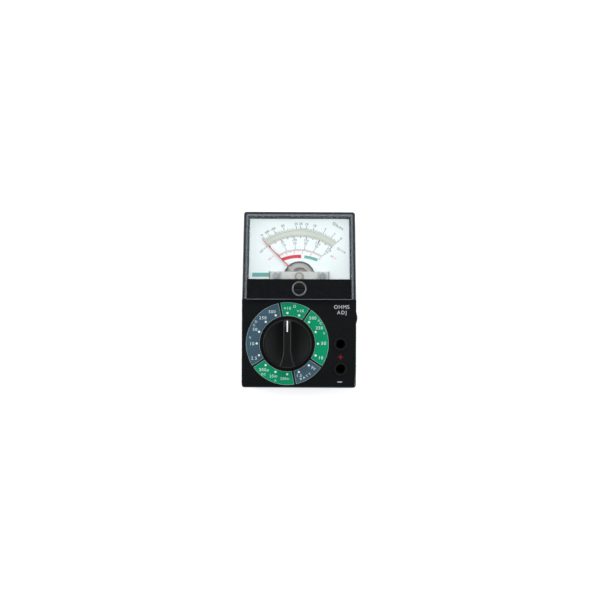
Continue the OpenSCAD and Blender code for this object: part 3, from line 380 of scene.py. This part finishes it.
# --------------------------------------------------------------- dial print
# The dial is stoved white enamel on aluminium sheet. Its scales are screen
# printed in black, red, gold, grey and green inks, each a film of its own.
dial_z = 20.0
film = 0.03
pivot = np.array([0.0, 12.7])
arc_centre = np.array([0.0, 5.1])
zero_angle, full_angle = -44.0, 47.0

# stoving levels the enamel, so it is an even white with a soft gloss
wear("dial_plate", finish("stoved_white_enamel", "#F5FEFF", 0.38, grain=1.0, bump=0.004, tint=0.015))


def direction_at(angle):
    """Unit vectors for angles in degrees, clockwise from straight up."""
    angle = np.radians(np.asarray(angle, float))
    return np.stack([np.sin(angle), np.cos(angle)], axis=-1)


def on_arc(angle, radius):
    """Where a ray from the pivot at an angle crosses a scale's circle, whose centre lies below the pivot."""
    ray = direction_at(angle)
    along = ray @ (pivot - arc_centre)
    offset = float(np.sum((pivot - arc_centre) ** 2))
    return pivot + ray * (np.sqrt(along ** 2 + np.asarray(radius, float) ** 2 - offset) - along)[..., None]


def ribbon(inner, outer, low, top):
    """A flat strip with thickness: a rectangle carried along two rows of points in the plane, closed at its ends."""
    rows = [np.column_stack([edge, np.full(len(edge), z)])
            for edge, z in ((inner, low), (outer, low), (outer, top), (inner, top))]
    grid = np.stack(rows, axis=1)
    count = len(grid)
    last = (count - 1) * 4
    return grid.reshape(-1, 3), grid_faces(count, 4) + [[0, 1, 2, 3], [last + 3, last + 2, last + 1, last]]


def arc_strip(r_in, r_out, start, end, steps=72):
    """A strip between two radii of the scales' circle, from one pointer angle to another."""
    angles = np.linspace(start, end, steps)
    return ribbon(on_arc(angles, r_in), on_arc(angles, r_out), dial_z, dial_z + film)


def ticks(angles, r_in, r_out, width):
    """Straight marks along the pointer's direction, one at each angle, between two radii of the scales' circle."""
    side = direction_at(np.asarray(angles, float) + 90) * width / 2
    ends = on_arc(angles, r_in), on_arc(angles, r_out)
    return [ribbon(np.stack([a - s, b - s]), np.stack([a + s, b + s]), dial_z, dial_z + film)
            for a, b, s in zip(*ends, side)]


def joined(parts):
    """One list of points and one of faces from many pairs."""
    points, faces, start = [], [], 0
    for part_points, part_faces in parts:
        part_points = np.asarray(part_points).reshape(-1, 3)
        points.append(part_points)
        faces += [[start + k for k in face] for face in part_faces]
        start += len(part_points)
    return np.concatenate(points), faces


figure_share = 0.73  # a figure's height as a share of the lettering's nominal size


def letters(text, size, at, turn=0, low=dial_z, top=dial_z + film, spread=1.0):
    """Points and faces of a line of lettering: its outline filled, given a thickness, and set centred on a place.
    Size is the height of the figures in millimetres, turn is in degrees, anticlockwise, and spread is the
    letters' spacing."""
    curve = bpy.data.curves.new("letters", "FONT")
    curve.body = text
    curve.size = size / figure_share
    curve.space_character = spread
    curve.align_x = "CENTER"
    curve.align_y = "CENTER"
    curve.resolution_u = 3
    curve.extrude = (top - low) / 2
    thing = bpy.data.objects.new("letters", curve)
    mesh = bpy.data.meshes.new_from_object(thing)
    points = np.empty(len(mesh.vertices) * 3)
    mesh.vertices.foreach_get("co", points)
    faces = [list(face.vertices) for face in mesh.polygons]
    bpy.data.objects.remove(thing)
    bpy.data.curves.remove(curve)
    bpy.data.meshes.remove(mesh)
    turned = points.reshape(-1, 3) @ np.array(Euler((0, 0, math.radians(turn))).to_matrix()).T
    return turned + [at[0], at[1], (low + top) / 2], faces


def ink(name, colour, rough=0.42):
    """Screen ink: a little uneven in colour, with the mesh's slight orange peel."""
    return finish(name, colour, rough, grain=0.5, bump=0.003, tint=0.05, IOR=1.3)


def printed(name, parts, material, body="case"):
    """One colour's print as one piece."""
    points, faces = joined(parts)
    return piece(name, points, faces, body, material, smooth=False)


def at_value(share):
    """Pointer angles for shares of full deflection."""
    return zero_angle + (full_angle - zero_angle) * np.asarray(share, float)


mid_ohms = 20.0


def at_ohms(ohms):
    """Pointer angle for a resistance: the share of full deflection is the mid value over the mid value plus it."""
    return at_value(mid_ohms / (mid_ohms + np.asarray(ohms, float)))


black_ink = ink("black_dial_ink", "#14242B")
red_ink = ink("red_dial_ink", "#D9414F")
gold_ink = ink("gold_dial_ink", "#C4B683", 0.35)
painted_mirror_ink = ink("mirror_band_painted_reflection", "#CFDAD6", 0.3)
green_ink = ink("green_dial_ink", "#72B5AC")

# a grey band takes the place of a mirror, its grey a painted reflection, and it has a gold line on either side
band_start, band_end = -45.0, 47.5
gold_in, mirror_in, mirror_out, gold_out = 30.4, 30.8, 33.0, 33.4
printed("mirror_band", [arc_strip(mirror_in, mirror_out, band_start, band_end)], painted_mirror_ink)
printed("gold_lines", [arc_strip(gold_in, mirror_in, band_start, band_end),
                       arc_strip(mirror_out, gold_out, band_start, band_end)], gold_ink)

# ohms stand outside the band, volts and amperes inside it, and the small figures belong to the lowest line
ohm_marks = {"1k": 1000, "200": 200, "100": 100, "50": 50, "25": 25, "20": 20, "15": 15, "10": 10, "5": 5, "2": 2,
             "0": 0}
ohm_minor = [1, 3, 4, 6, 7, 8, 9, 11, 12, 13, 14, 16, 17, 18, 19, 22, 30, 35, 40, 60, 70, 80, 90, 150, 300, 500]
volt_marks = at_value(np.linspace(0, 1, 51))
ohm_r, volt_r, small_r = 33.8, 30.1, 22.8
thin, bold = 0.15, 0.24
black_parts = [
    arc_strip(33.75, 33.9, zero_angle, full_angle),
    *ticks(at_ohms(ohm_minor), ohm_r, 34.7, thin),
    *ticks(at_ohms(list(ohm_marks.values())), ohm_r, 35.7, bold),
    *ticks([zero_angle], ohm_r, 35.7, bold),
    arc_strip(30.0, 30.14, zero_angle, full_angle),
    *ticks(volt_marks, 29.4, volt_r, thin),
    *ticks(volt_marks[::5], 28.9, volt_r, 0.34),
    *ticks(volt_marks[::10], 28.6, volt_r, 0.36),
    arc_strip(22.75, 22.87, zero_angle, full_angle),
    *ticks(volt_marks[::10], small_r, 24.2, 0.2),
    letters("Ohms", 1.75, (21.2, 40.8), -30, spread=1.15),
    letters("DC V A", 1.2, (-19.6, 27.8), 40),
    letters("DC V A", 1.2, (23.0, 27.3), -31),
]
for text, ohms in ohm_marks.items():
    angle = float(at_ohms(ohms))
    black_parts.append(letters(text, 1.4, on_arc(angle, 36.8), -angle))
# three rows of figures at each fifth of the travel: to 250, to 50 and to 10
for step, size, radius, spread in ((50, 1.3, 27.9, 1.1), (10, 1.3, 26.2, 1.1), (2, 0.95, 24.85, 1.0)):
    for k in range(1, 6):
        angle = float(at_value(k / 5))
        black_parts.append(letters(str(step * k), size, on_arc(angle, radius), -angle, spread=spread))
printed("black_scales", black_parts, black_ink)


crowding = 1.12


def at_ac(share):
    """Pointer angles on the red scale, which is crowded near zero as a rectifier makes it."""
    return at_value(np.asarray(share, float) ** crowding)


band_centre_y, band_r = -1.0, 25.0


def flat_band(x_start, x_end, width):
    """A printed band between two places across the dial, on a circle flatter than the scales' own."""
    x = np.linspace(x_start, x_end, 24)
    middle = np.stack([x, band_centre_y + np.sqrt(band_r ** 2 - x ** 2)], axis=1)
    out = (middle - [0, band_centre_y]) / band_r * width / 2
    return ribbon(middle - out, middle + out, dial_z, dial_z + film)


ac_marks = np.linspace(0, 1, 51)
red_r = 22.4
printed("red_scales", [
    arc_strip(22.3, 22.44, zero_angle, full_angle),
    *ticks(at_ac(ac_marks), 21.9, red_r, 0.13),
    *ticks(at_ac(ac_marks[::5]), 21.5, red_r, 0.22),
    *[letters(str(2 * k), 0.95, on_arc(float(at_ac(k / 5)), 20.85), -float(at_ac(k / 5))) for k in range(1, 6)],
    letters("AC V", 1.15, (-15.6, 23.0), 38),
    letters("AC V", 1.15, (18.6, 23.5), -33),
    flat_band(-9.6, 1.0, 1.8),
], red_ink)
printed("green_scales", [flat_band(2.7, 9.9, 1.6)], green_ink)

# a bare strip of colour in the dial's lower left corner
label_left, label_right, label_y, label_height, label_film = -26.0, -16.4, 12.7, 2.2, 0.05
label = np.array([[label_left, label_y], [label_right, label_y]])
printed("bare_label", [ribbon(label, label + [0, label_height], dial_z, dial_z + label_film)],
        ink("label_grey_green", "#6FB3AD"))


# ----------------------------------------------------------------- movement
# The moving-coil works behind the dial's cut-out: a die-cast frame, a dark
# ring magnet yoke, a copper coil on an aluminium former and brass trim.
# Each finish has its name, colour, roughness, grain and bump in millimetres, and how metallic it is.
works = {
    "movement_frame": ("die_cast_frame", "#F0F3F4", 0.5, 0.5, 0.01, 0.0),
    "upper_bridge": ("plated_bridge", "#CCD0CC", 0.45, 0.25, 0.004, 0.1),
    "yoke_ring": ("plated_yoke", "#D8D5D6", 0.45, 0.3, 0.01, 0.1),
    "core_magnet": ("ground_magnet", "#CFCBCC", 0.42, 0.2, 0.004, 0.1),
    "core_clamp": ("plated_clamp", "#D2CDC4", 0.42, 0.25, 0.004, 0.2),
    "lower_bridge": ("plated_lower_bridge", "#B7B5AE", 0.42, 0.25, 0.004, 0.2),
    "upper_jewel_screw": ("turned_nickel_brass", "#C4BFA6", 0.34, 0.15, 0.003, 0.4),
    "lower_jewel_screw": ("turned_brass", "#C9A455", 0.28, 0.15, 0.003, 1.0),
    "coil_former": ("aluminium_former", "#B9BDC0", 0.35, 0.2, 0.003, 1.0),
    "balance_cross": ("brass_cross", "#B9AD8C", 0.38, 0.15, 0.003, 0.6),
    "balance_weights": ("brass_weights", "#C9A65C", 0.3, 0.15, 0.003, 1.0),
    "upper_hairspring": ("spring_bronze", "#A89478", 0.35, 0.1, 0.002, 0.7),
    "lower_hairspring": ("spring_bronze_lower", "#B28450", 0.3, 0.1, 0.002, 1.0),
    "zero_lever": ("stamped_steel", "#9B9EA0", 0.34, 0.2, 0.003, 1.0),
    "pivot_shafts": ("polished_pivots", "#A9ACAE", 0.2, 0.1, 0.002, 1.0),
    "pointer_stops": ("stop_pins", "#7B7E80", 0.3, 0.1, 0.002, 1.0),
    "movement_tags": ("tinned_tags", "#B5A67E", 0.4, 0.2, 0.004, 1.0),
}
screws = ["frame_screws", "bridge_screws", "yoke_screws", "lower_bridge_screws", "case_screws", "rotor_screw",
          "board_screws"]

# plated parts are pale and satin; turned brass and the bronze springs are warmer and brighter
for node, (name, colour, rough, grain, bump, metallic) in works.items():
    wear(node, finish(name, colour, rough, grain=grain, bump=bump, metallic=metallic, tint=0.07))
plated = finish("zinc_plated_screws", "#9DA1A3", 0.3, grain=0.15, bump=0.003, metallic=1.0, tint=0.08)
for node in screws:
    wear(node, plated)


bands_in_one = 3.2  # a wave texture has this many bands in a unit of its vector
ridge_depth, ridge_strength = 0.3, 0.8  # the depth is a share of the pitch


def wound(name, colour, pitch):
    """Enamelled wire: ridges a pitch apart in millimetres, one for each turn, across the coil's height."""
    material = finish(name, colour, 0.38, grain=0.2, bump=0.002, metallic=0.3, tint=0.05)
    tree = material.node_tree
    shader = tree.nodes["Principled BSDF"]
    place = add(tree, "TexCoord").outputs["Object"]
    turns = add(tree, "TexWave", {"Vector": place, "Scale": 1 / (pitch * mm) / bands_in_one},
                bands_direction="Z")
    relief = add(tree, "Bump", {"Height": turns.outputs["Fac"], "Distance": pitch * ridge_depth * mm,
                                "Strength": ridge_strength})
    tree.links.new(relief.outputs[0], shader.inputs["Normal"])
    return material


wear("moving_coil", wound("enamelled_copper", "#A88C80", 0.14))

# a pressed ring stands on the yoke and keeps dust out of the coil's gap
gap_r, ring_r, flange_r, yoke_top, ring_under, ring_top, sheet = 5.3, 7.95, 9.1, 16.72, 18.15, 18.38, 0.2
profile = [[gap_r, ring_under], [ring_r - sheet, ring_under], [ring_r - sheet, yoke_top], [flange_r, yoke_top],
           [flange_r, yoke_top + sheet], [ring_r, yoke_top + sheet], [ring_r, ring_top - 0.08],
           [ring_r - 0.1, ring_top], [gap_r, ring_top], [gap_r, ring_under]]
points, faces = lathe(profile, pivot)
piece("dust_ring", points, faces, "case",
      finish("dulled_zinc_plate", "#B9B7B7", 0.5, grain=0.5, bump=0.006, tint=0.12))

# the needle is drawn aluminium, dipped in red lacquer as far as the edge of the dial's cut-out
needle_z, dip_starts, dip_whole = 21.0, 7.7, 8.5
lacquer = finish("red_dipped_aluminium", "#C42A3A", 0.35, grain=0.4, bump=0.002, tint=0.05)
tree = lacquer.node_tree
shader = tree.nodes["Principled BSDF"]
from_pivot = add(tree, "VectorMath", {0: add(tree, "TexCoord").outputs["Object"],
                                      1: (pivot[0] * mm, pivot[1] * mm, needle_z * mm)}, operation="DISTANCE")
dipped = add(tree, "MapRange", {"Value": from_pivot.outputs["Value"], "From Min": dip_starts * mm,
                                "From Max": dip_whole * mm})
bare_and_red = add(tree, "Mix", {0: dipped.outputs[0], 6: linear("#C9C7C3"),
                                 7: shader.inputs["Base Color"].links[0].from_socket}, data_type="RGBA")
tree.links.new(bare_and_red.outputs[2], shader.inputs["Base Color"])
wear("pointer_needle", lacquer)


# -------------------------------------------------------------- window edge highlight
# The window's lower edge stands on the cross wall. A pale strip along it is
# a painted highlight for the fine bright line the clear edge shows over the panel.
edge_y, edge_half, edge_width, edge_low, edge_top = 0.11, 28.6, 0.27, 26.7, 27.01
edge = np.array([[-edge_half, edge_y], [edge_half, edge_y]])
printed("window_edge_highlight", [ribbon(edge, edge + [0, edge_width], edge_low, edge_top)],
        finish("painted_edge_highlight", "#7E8A92", 0.45, grain=0.6, bump=0.01, tint=0.12))


# ------------------------------------------------------------- range switch
# The knob is one moulding in black ABS, smoother than the case: a disc with
# a rounded rim, and a bar handle that flares to a thumb rest at one end.
knob_at = np.array([-6.4, -24.2])
disc_r, disc_low, disc_top = 13.4, 24.3, 26.3
bar_top = 30.96
# a finer tool than the case's gives the knob an even, low sheen
knob_abs = finish("smooth_black_abs", "#07090A", 0.42, grain=0.3, bump=0.006, tint=0.05, IOR=1.4)
turn = np.linspace(0, math.pi / 2, 9)
rim, foot_cut, step_out, step_in, face_sunk = 0.55, 0.3, 1.4, 1.7, 0.14
disc_profile = np.concatenate([
    [[0, disc_low], [disc_r - foot_cut, disc_low], [disc_r, disc_low + foot_cut]],
    np.stack([disc_r - rim + rim * np.cos(turn), disc_top - rim + rim * np.sin(turn)], axis=1),
    [[disc_r - step_out, disc_top - 0.02], [disc_r - step_in, disc_top - face_sunk], [0, disc_top - face_sunk]],
])
points, faces = lathe(disc_profile, knob_at, 128)
disc = piece("knob_disc", points, faces, "selector", knob_abs)
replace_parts(disc, "selector_knob")


bar_half, flare, flare_from, flare_length, flare_power = 2.4, 2.25, 3.2, 10.0, 1.7
slant_from, slope = 9, 0.26


def bar_half_width(y):
    """Half the handle's width along it: even at the pointer end, then flared to the thumb rest by a power of the
    way past the flare's start."""
    share = np.clip((-y - flare_from) / flare_length, 0, 1)
    return bar_half + flare * share ** flare_power


def slant(y):
    """How far the top has sunk at the pointer end: a slope times the way past its start, eased in over 1 mm."""
    past = np.maximum(y - slant_from, 0)
    return slope * np.where(past < 1, past ** 2 / 2, past - 0.5)


def handle_grid(columns=72, climb_steps=5, side=10, top=14):
    """The handle's surface over two parameters. Along it, y runs from end to end, closer spaced near the ends. Across
    it, a section climbs one side with a draft, rounds over the shoulder by a quarter circle, crosses the flat top
    and comes down the other side. Near each end the top sinks by a quarter circle, and y is scaled so that the ends
    follow the disc's circle."""
    reach, shoulder, draft, end_r, sunk_foot = 13.1, 0.7, 0.22, 0.8, 0.3
    y = reach * np.sin(np.linspace(-1, 1, columns) * math.pi / 2)
    short = np.maximum(end_r - (reach - np.abs(y)), 0)
    sink = end_r - np.sqrt(np.maximum(end_r ** 2 - short ** 2, 0)) + slant(y)
    half = bar_half_width(y)[:, None]
    low = disc_top - sunk_foot
    rise = (bar_top - low - sink)[:, None]
    climb = np.arange(climb_steps) / climb_steps
    turn = np.linspace(0, math.pi / 2, side)
    inward = np.linspace(1, 0, top)[1:]
    xs = np.concatenate([half - draft * climb, half - draft - shoulder + shoulder * np.cos(turn),
                         (half - draft - shoulder) * inward], axis=1)
    zs = np.concatenate([low + (rise - shoulder) * climb, low + rise - shoulder + shoulder * np.sin(turn),
                         np.broadcast_to(low + rise, (columns, top - 1))], axis=1)
    right = np.stack([xs, zs], axis=2)
    section = np.concatenate([right, right[:, ::-1][:, 1:] * [-1, 1]], axis=1)
    x, z = section[..., 0], section[..., 1]
    bend = np.sqrt(np.maximum(reach ** 2 - x ** 2, 0)) / reach
    return np.stack([knob_at[0] + x, knob_at[1] + y[:, None] * bend, z], axis=2)


handle = handle_grid()
rows, columns = handle.shape[:2]
faces = grid_faces(rows, columns)
faces += [list(range(columns)), list(range(rows * columns - 1, (rows - 1) * columns - 1, -1))]
piece("knob_handle", handle, faces, "selector", knob_abs)

# a moulded groove filled with white paint, which follows the slant of the top
line_starts, line_ends, line_half, groove, proud, steps = 6.6, 12.7, 0.34, 0.1, 0.02, 24
run = np.linspace(line_starts, line_ends, steps)
line = np.column_stack([np.full(steps, knob_at[0]), knob_at[1] + run])
points, faces = ribbon(line - [line_half, 0], line + [line_half, 0], bar_top - groove, bar_top + proud)
points[:, 2] -= np.repeat(slant(run), 4)
index = piece("index_line", points, faces, "selector", ink("white_filled_line", "#F2F5F6", 0.4),
              smooth=False)
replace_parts(index, "knob_index")


# --------------------------------------------------------------- range ring
# The ring is printed on the panel: five fields in green and grey, each with
# a pale outline, then white dots and figures at the sixteen positions.
ring_z = 24.15
field_in, field_out = 15.3, 22.75
fields = {
    "green": [(-11.25, 33.75), (33.75, 123.75), (168.75, 236.25)],
    "grey": [(123.75, 168.75), (236.25, 348.75)],
}


def fan(centre, r_in, r_out, start, end, margin, low, top, steps=64):
    """A field between two radii and two bearings. Its straight ends are moved in along the rim by a margin."""
    inner = np.linspace(start + math.degrees(margin / r_in), end - math.degrees(margin / r_in), steps)
    outer = np.linspace(start + math.degrees(margin / r_out), end - math.degrees(margin / r_out), steps)
    return ribbon(centre + direction_at(inner) * r_in, centre + direction_at(outer) * r_out, low, top)


field_gap, outline = 0.55, 0.16
outline_top, field_top, figure_low, figure_top = ring_z + 0.02, ring_z + 0.04, ring_z + 0.02, ring_z + 0.07
printed("field_outlines", [fan(knob_at, field_in, field_out, a, b, field_gap, ring_z, outline_top)
                           for a, b in fields["green"] + fields["grey"]], ink("pale_outline", "#9DB5B0"))
for name, colour in (("green", "#008C62"), ("grey", "#3D5766")):
    printed(f"{name}_fields", [fan(knob_at, field_in + outline, field_out - outline, a, b, field_gap + outline,
                                   ring_z, field_top) for a, b in fields[name]],
            ink(f"{name}_panel_ink", colour))

dot_r, dot_at = 0.62, 16.85
wheel = np.linspace(0, 2 * math.pi, 20, endpoint=False)


def dot(bearing):
    """A small disc with thickness at a bearing round the knob."""
    middle = knob_at + direction_at(bearing) * dot_at
    ring = middle + dot_r * np.stack([np.cos(wheel), np.sin(wheel)], axis=1)
    count = len(ring)
    points = np.concatenate([np.column_stack([ring, np.full(count, z)]) for z in (figure_low, figure_top)])
    return points, grid_faces(2, count) + [list(range(count))[::-1], list(range(count, 2 * count))]


def ring_text(text, size, bearing, radius, turn=0, spread=1.18):
    """Lettering on the ring, centred at a bearing and a radius round the knob."""
    return letters(text, size, knob_at + direction_at(bearing) * radius, turn, figure_low, figure_top, spread)


# each with its height, bearing and radius, and where they differ its turn and spacing
figures = [
    ("×10", 1.6, 0, 19.4), ("Ω", 1.5, 10.8, 20.8), ("×1K", 1.6, 21.8, 19.3),
    ("500", 1.75, 44.8, 19.8), ("250", 1.75, 63.8, 19.6), ("50", 1.8, 89.5, 20), ("10", 1.8, 113, 20),
    ("A", 1.3, 53.6, 21.4), ("C", 1.3, 58.6, 21.5), ("V", 1.4, 74.5, 21),
    ("9V", 1.6, 133.4, 19.7, -29), ("1.5", 1.6, 159.5, 18.8),
    ("250m", 1.5, 184, 19.4, 0, 1.1), ("25m", 1.6, 202.8, 19.5), ("500µ", 1.7, 221.5, 19.3),
    ("A", 1.3, 197.6, 21.4), ("DC", 1.2, 217.5, 21.4),
    ("2.5", 1.75, 246, 20), ("10", 1.75, 269.3, 19.5), ("50", 1.75, 293.2, 19.4), ("250", 1.75, 316, 19.5),
    ("500", 1.7, 334, 19.4),
    ("V", 1.4, 278.6, 20.7), ("C", 1.3, 298.8, 20.9), ("D", 1.3, 304.6, 21),
]
positions = 16
white_parts = [dot(k * 360 / positions) for k in range(positions)]
white_parts += [ring_text(*figure) for figure in figures]
white_parts += [ring_text(letter, 1.3, bearing, 20.9, 180 - bearing)
                for letter, bearing in zip("BATT", (158.8, 153.6, 148.4, 143.2))]
printed("ring_figures", white_parts, ink("white_panel_ink", "#DCEBE8"))
wear("range_plate", ink("black_ring_ink", "#101416"))


# --------------------------------------------------------------- panel print
# Words and signs at the ohms wheel and the sockets. They are pad printed on
# the panel in pale and red ink, a thin film over the moulding's grain.
pale = ink("pale_panel_ink", "#C6CED2")
print_top = panel + 0.05
printed("panel_words", [
    letters("OHMS", 2.15, (23.4, -4.0), 0, panel, print_top, 1.1),
    letters("ADJ", 2.05, (23.6, -7.05), 0, panel, print_top, 1.25),
], pale)
socket_x, plus_y, minus_x, minus_y = 22.9, -31.5, 22.5, -45.2
minus_half, plus_half = 0.21, 0.23
flat_bar = np.array([[-1.3, 0], [1.3, 0]])
minus_at, plus_at = flat_bar + [minus_x, minus_y], flat_bar + [socket_x, plus_y]
printed("minus_sign", [ribbon(minus_at - [0, minus_half], minus_at + [0, minus_half], panel, print_top)], pale)
# the plus sign's upright stands a hair higher than its bar, so that their tops don't coincide
upright = flat_bar[:, ::-1] + [socket_x, plus_y]
printed("plus_sign", [ribbon(plus_at - [0, plus_half], plus_at + [0, plus_half], panel, print_top),
                      ribbon(upright - [plus_half, 0], upright + [plus_half, 0], panel, print_top + 0.01)],
        ink("red_panel_ink", "#8E1826"))


# ------------------------------------------------------------------ sockets
# Two 4 mm sockets: a moulded collar with a rounded lip stands round each
# hole, and the plated brass tube lies a plug's nose below it.
# the brass is coloured near black, a painted shade for the depth of the hole, so it shows only as a dull dark rim
socket_painted_shade = finish("brass_with_painted_shade", "#2A2927", 0.45, grain=0.2, bump=0.004, metallic=1.0, tint=0.1)
bore_r, lip_r, lip_low, lip_top, lip_round = 2.52, 3.97, 23.5, 24.62, 0.5
for name, y in (("collar_plus", -24.4), ("collar_minus", -38.1)):
    points, faces = lathe(bead(bore_r, lip_r, lip_low, lip_top, lip_round), (socket_x, y), 72)
    piece(name, points, faces, "case", knob_abs)
for node in ("jack_socket_plus", "jack_socket_minus"):
    wear(node, socket_painted_shade)


# --------------------------------------------------------------- ohms wheel
# A black moulded thumbwheel on the pot's post. Its knurled edge stands out
# of the slot in the case's side, and each ridge of it is slightly rounded.
ridge_round, ridges_from = 0.1, 30
rounded_copy("knurled_wheel", "ohm_wheel", satin_black, (ridge_round, lambda x, y, z: x > ridges_from), rings=2)


# ------------------------------------------------------------ inside pieces
# Board, switch, small components, the cell and its leads, shut in the case.
# Each finish has its name, colour, roughness, grain and bump in millimetres,
# and how metallic it is. The fuse is a glass tube between its two caps.
inside = {
    "selector_rotor": ("natural_nylon", "#C9C2B0", 0.5, 0.4, 0.01, 0.0),
    "wiper_contacts": ("wiper_bronze", "#B9864A", 0.3, 0.2, 0.003, 1.0),
    "detent_springs": ("spring_steel", "#A2A5A8", 0.28, 0.2, 0.003, 1.0),
    "circuit_board": ("glass_epoxy", "#3A6A3C", 0.45, 0.5, 0.01, 0.0),
    "switch_tracks": ("plated_copper", "#BC8344", 0.3, 0.2, 0.003, 1.0),
    "resistors": ("lacquered_resistors", "#BFA57A", 0.35, 0.4, 0.01, 0.0),
    "diodes": ("diode_glass", "#B0502A", 0.2, 0.3, 0.003, 0.0),
    "capacitor": ("can_sleeve", "#274A78", 0.3, 0.4, 0.005, 0.0),
    "trimmer": ("trimmer_body", "#3567A8", 0.35, 0.4, 0.005, 0.0),
    "fuse_caps": ("fuse_caps", "#B4B8BA", 0.25, 0.2, 0.003, 1.0),
    "fuse_clips": ("clip_bronze", "#B28C52", 0.3, 0.2, 0.003, 1.0),
    "ohm_pot": ("brown_phenolic", "#4E3A2C", 0.5, 0.3, 0.01, 0.0),
    "battery_cell": ("cell_sleeve", "#336299", 0.3, 0.5, 0.003, 0.3),
    "battery_contacts": ("nickel_contacts", "#B8BCBE", 0.28, 0.2, 0.003, 1.0),
    "battery_spring": ("cell_spring", "#A5A9AB", 0.28, 0.2, 0.003, 1.0),
    "battery_wires": ("red_pvc", "#96222A", 0.4, 0.3, 0.005, 0.0),
    "movement_wires": ("red_pvc_thin", "#86252A", 0.4, 0.3, 0.005, 0.0),
}
for node, (name, colour, rough, grain, bump, metallic) in inside.items():
    wear(node, finish(name, colour, rough, grain=grain, bump=bump, metallic=metallic, tint=0.07))
wear("fuse_glass", clear_moulding("fuse_tube_glass", "#F6FAFA", 0.01, 1.0, 1.47))
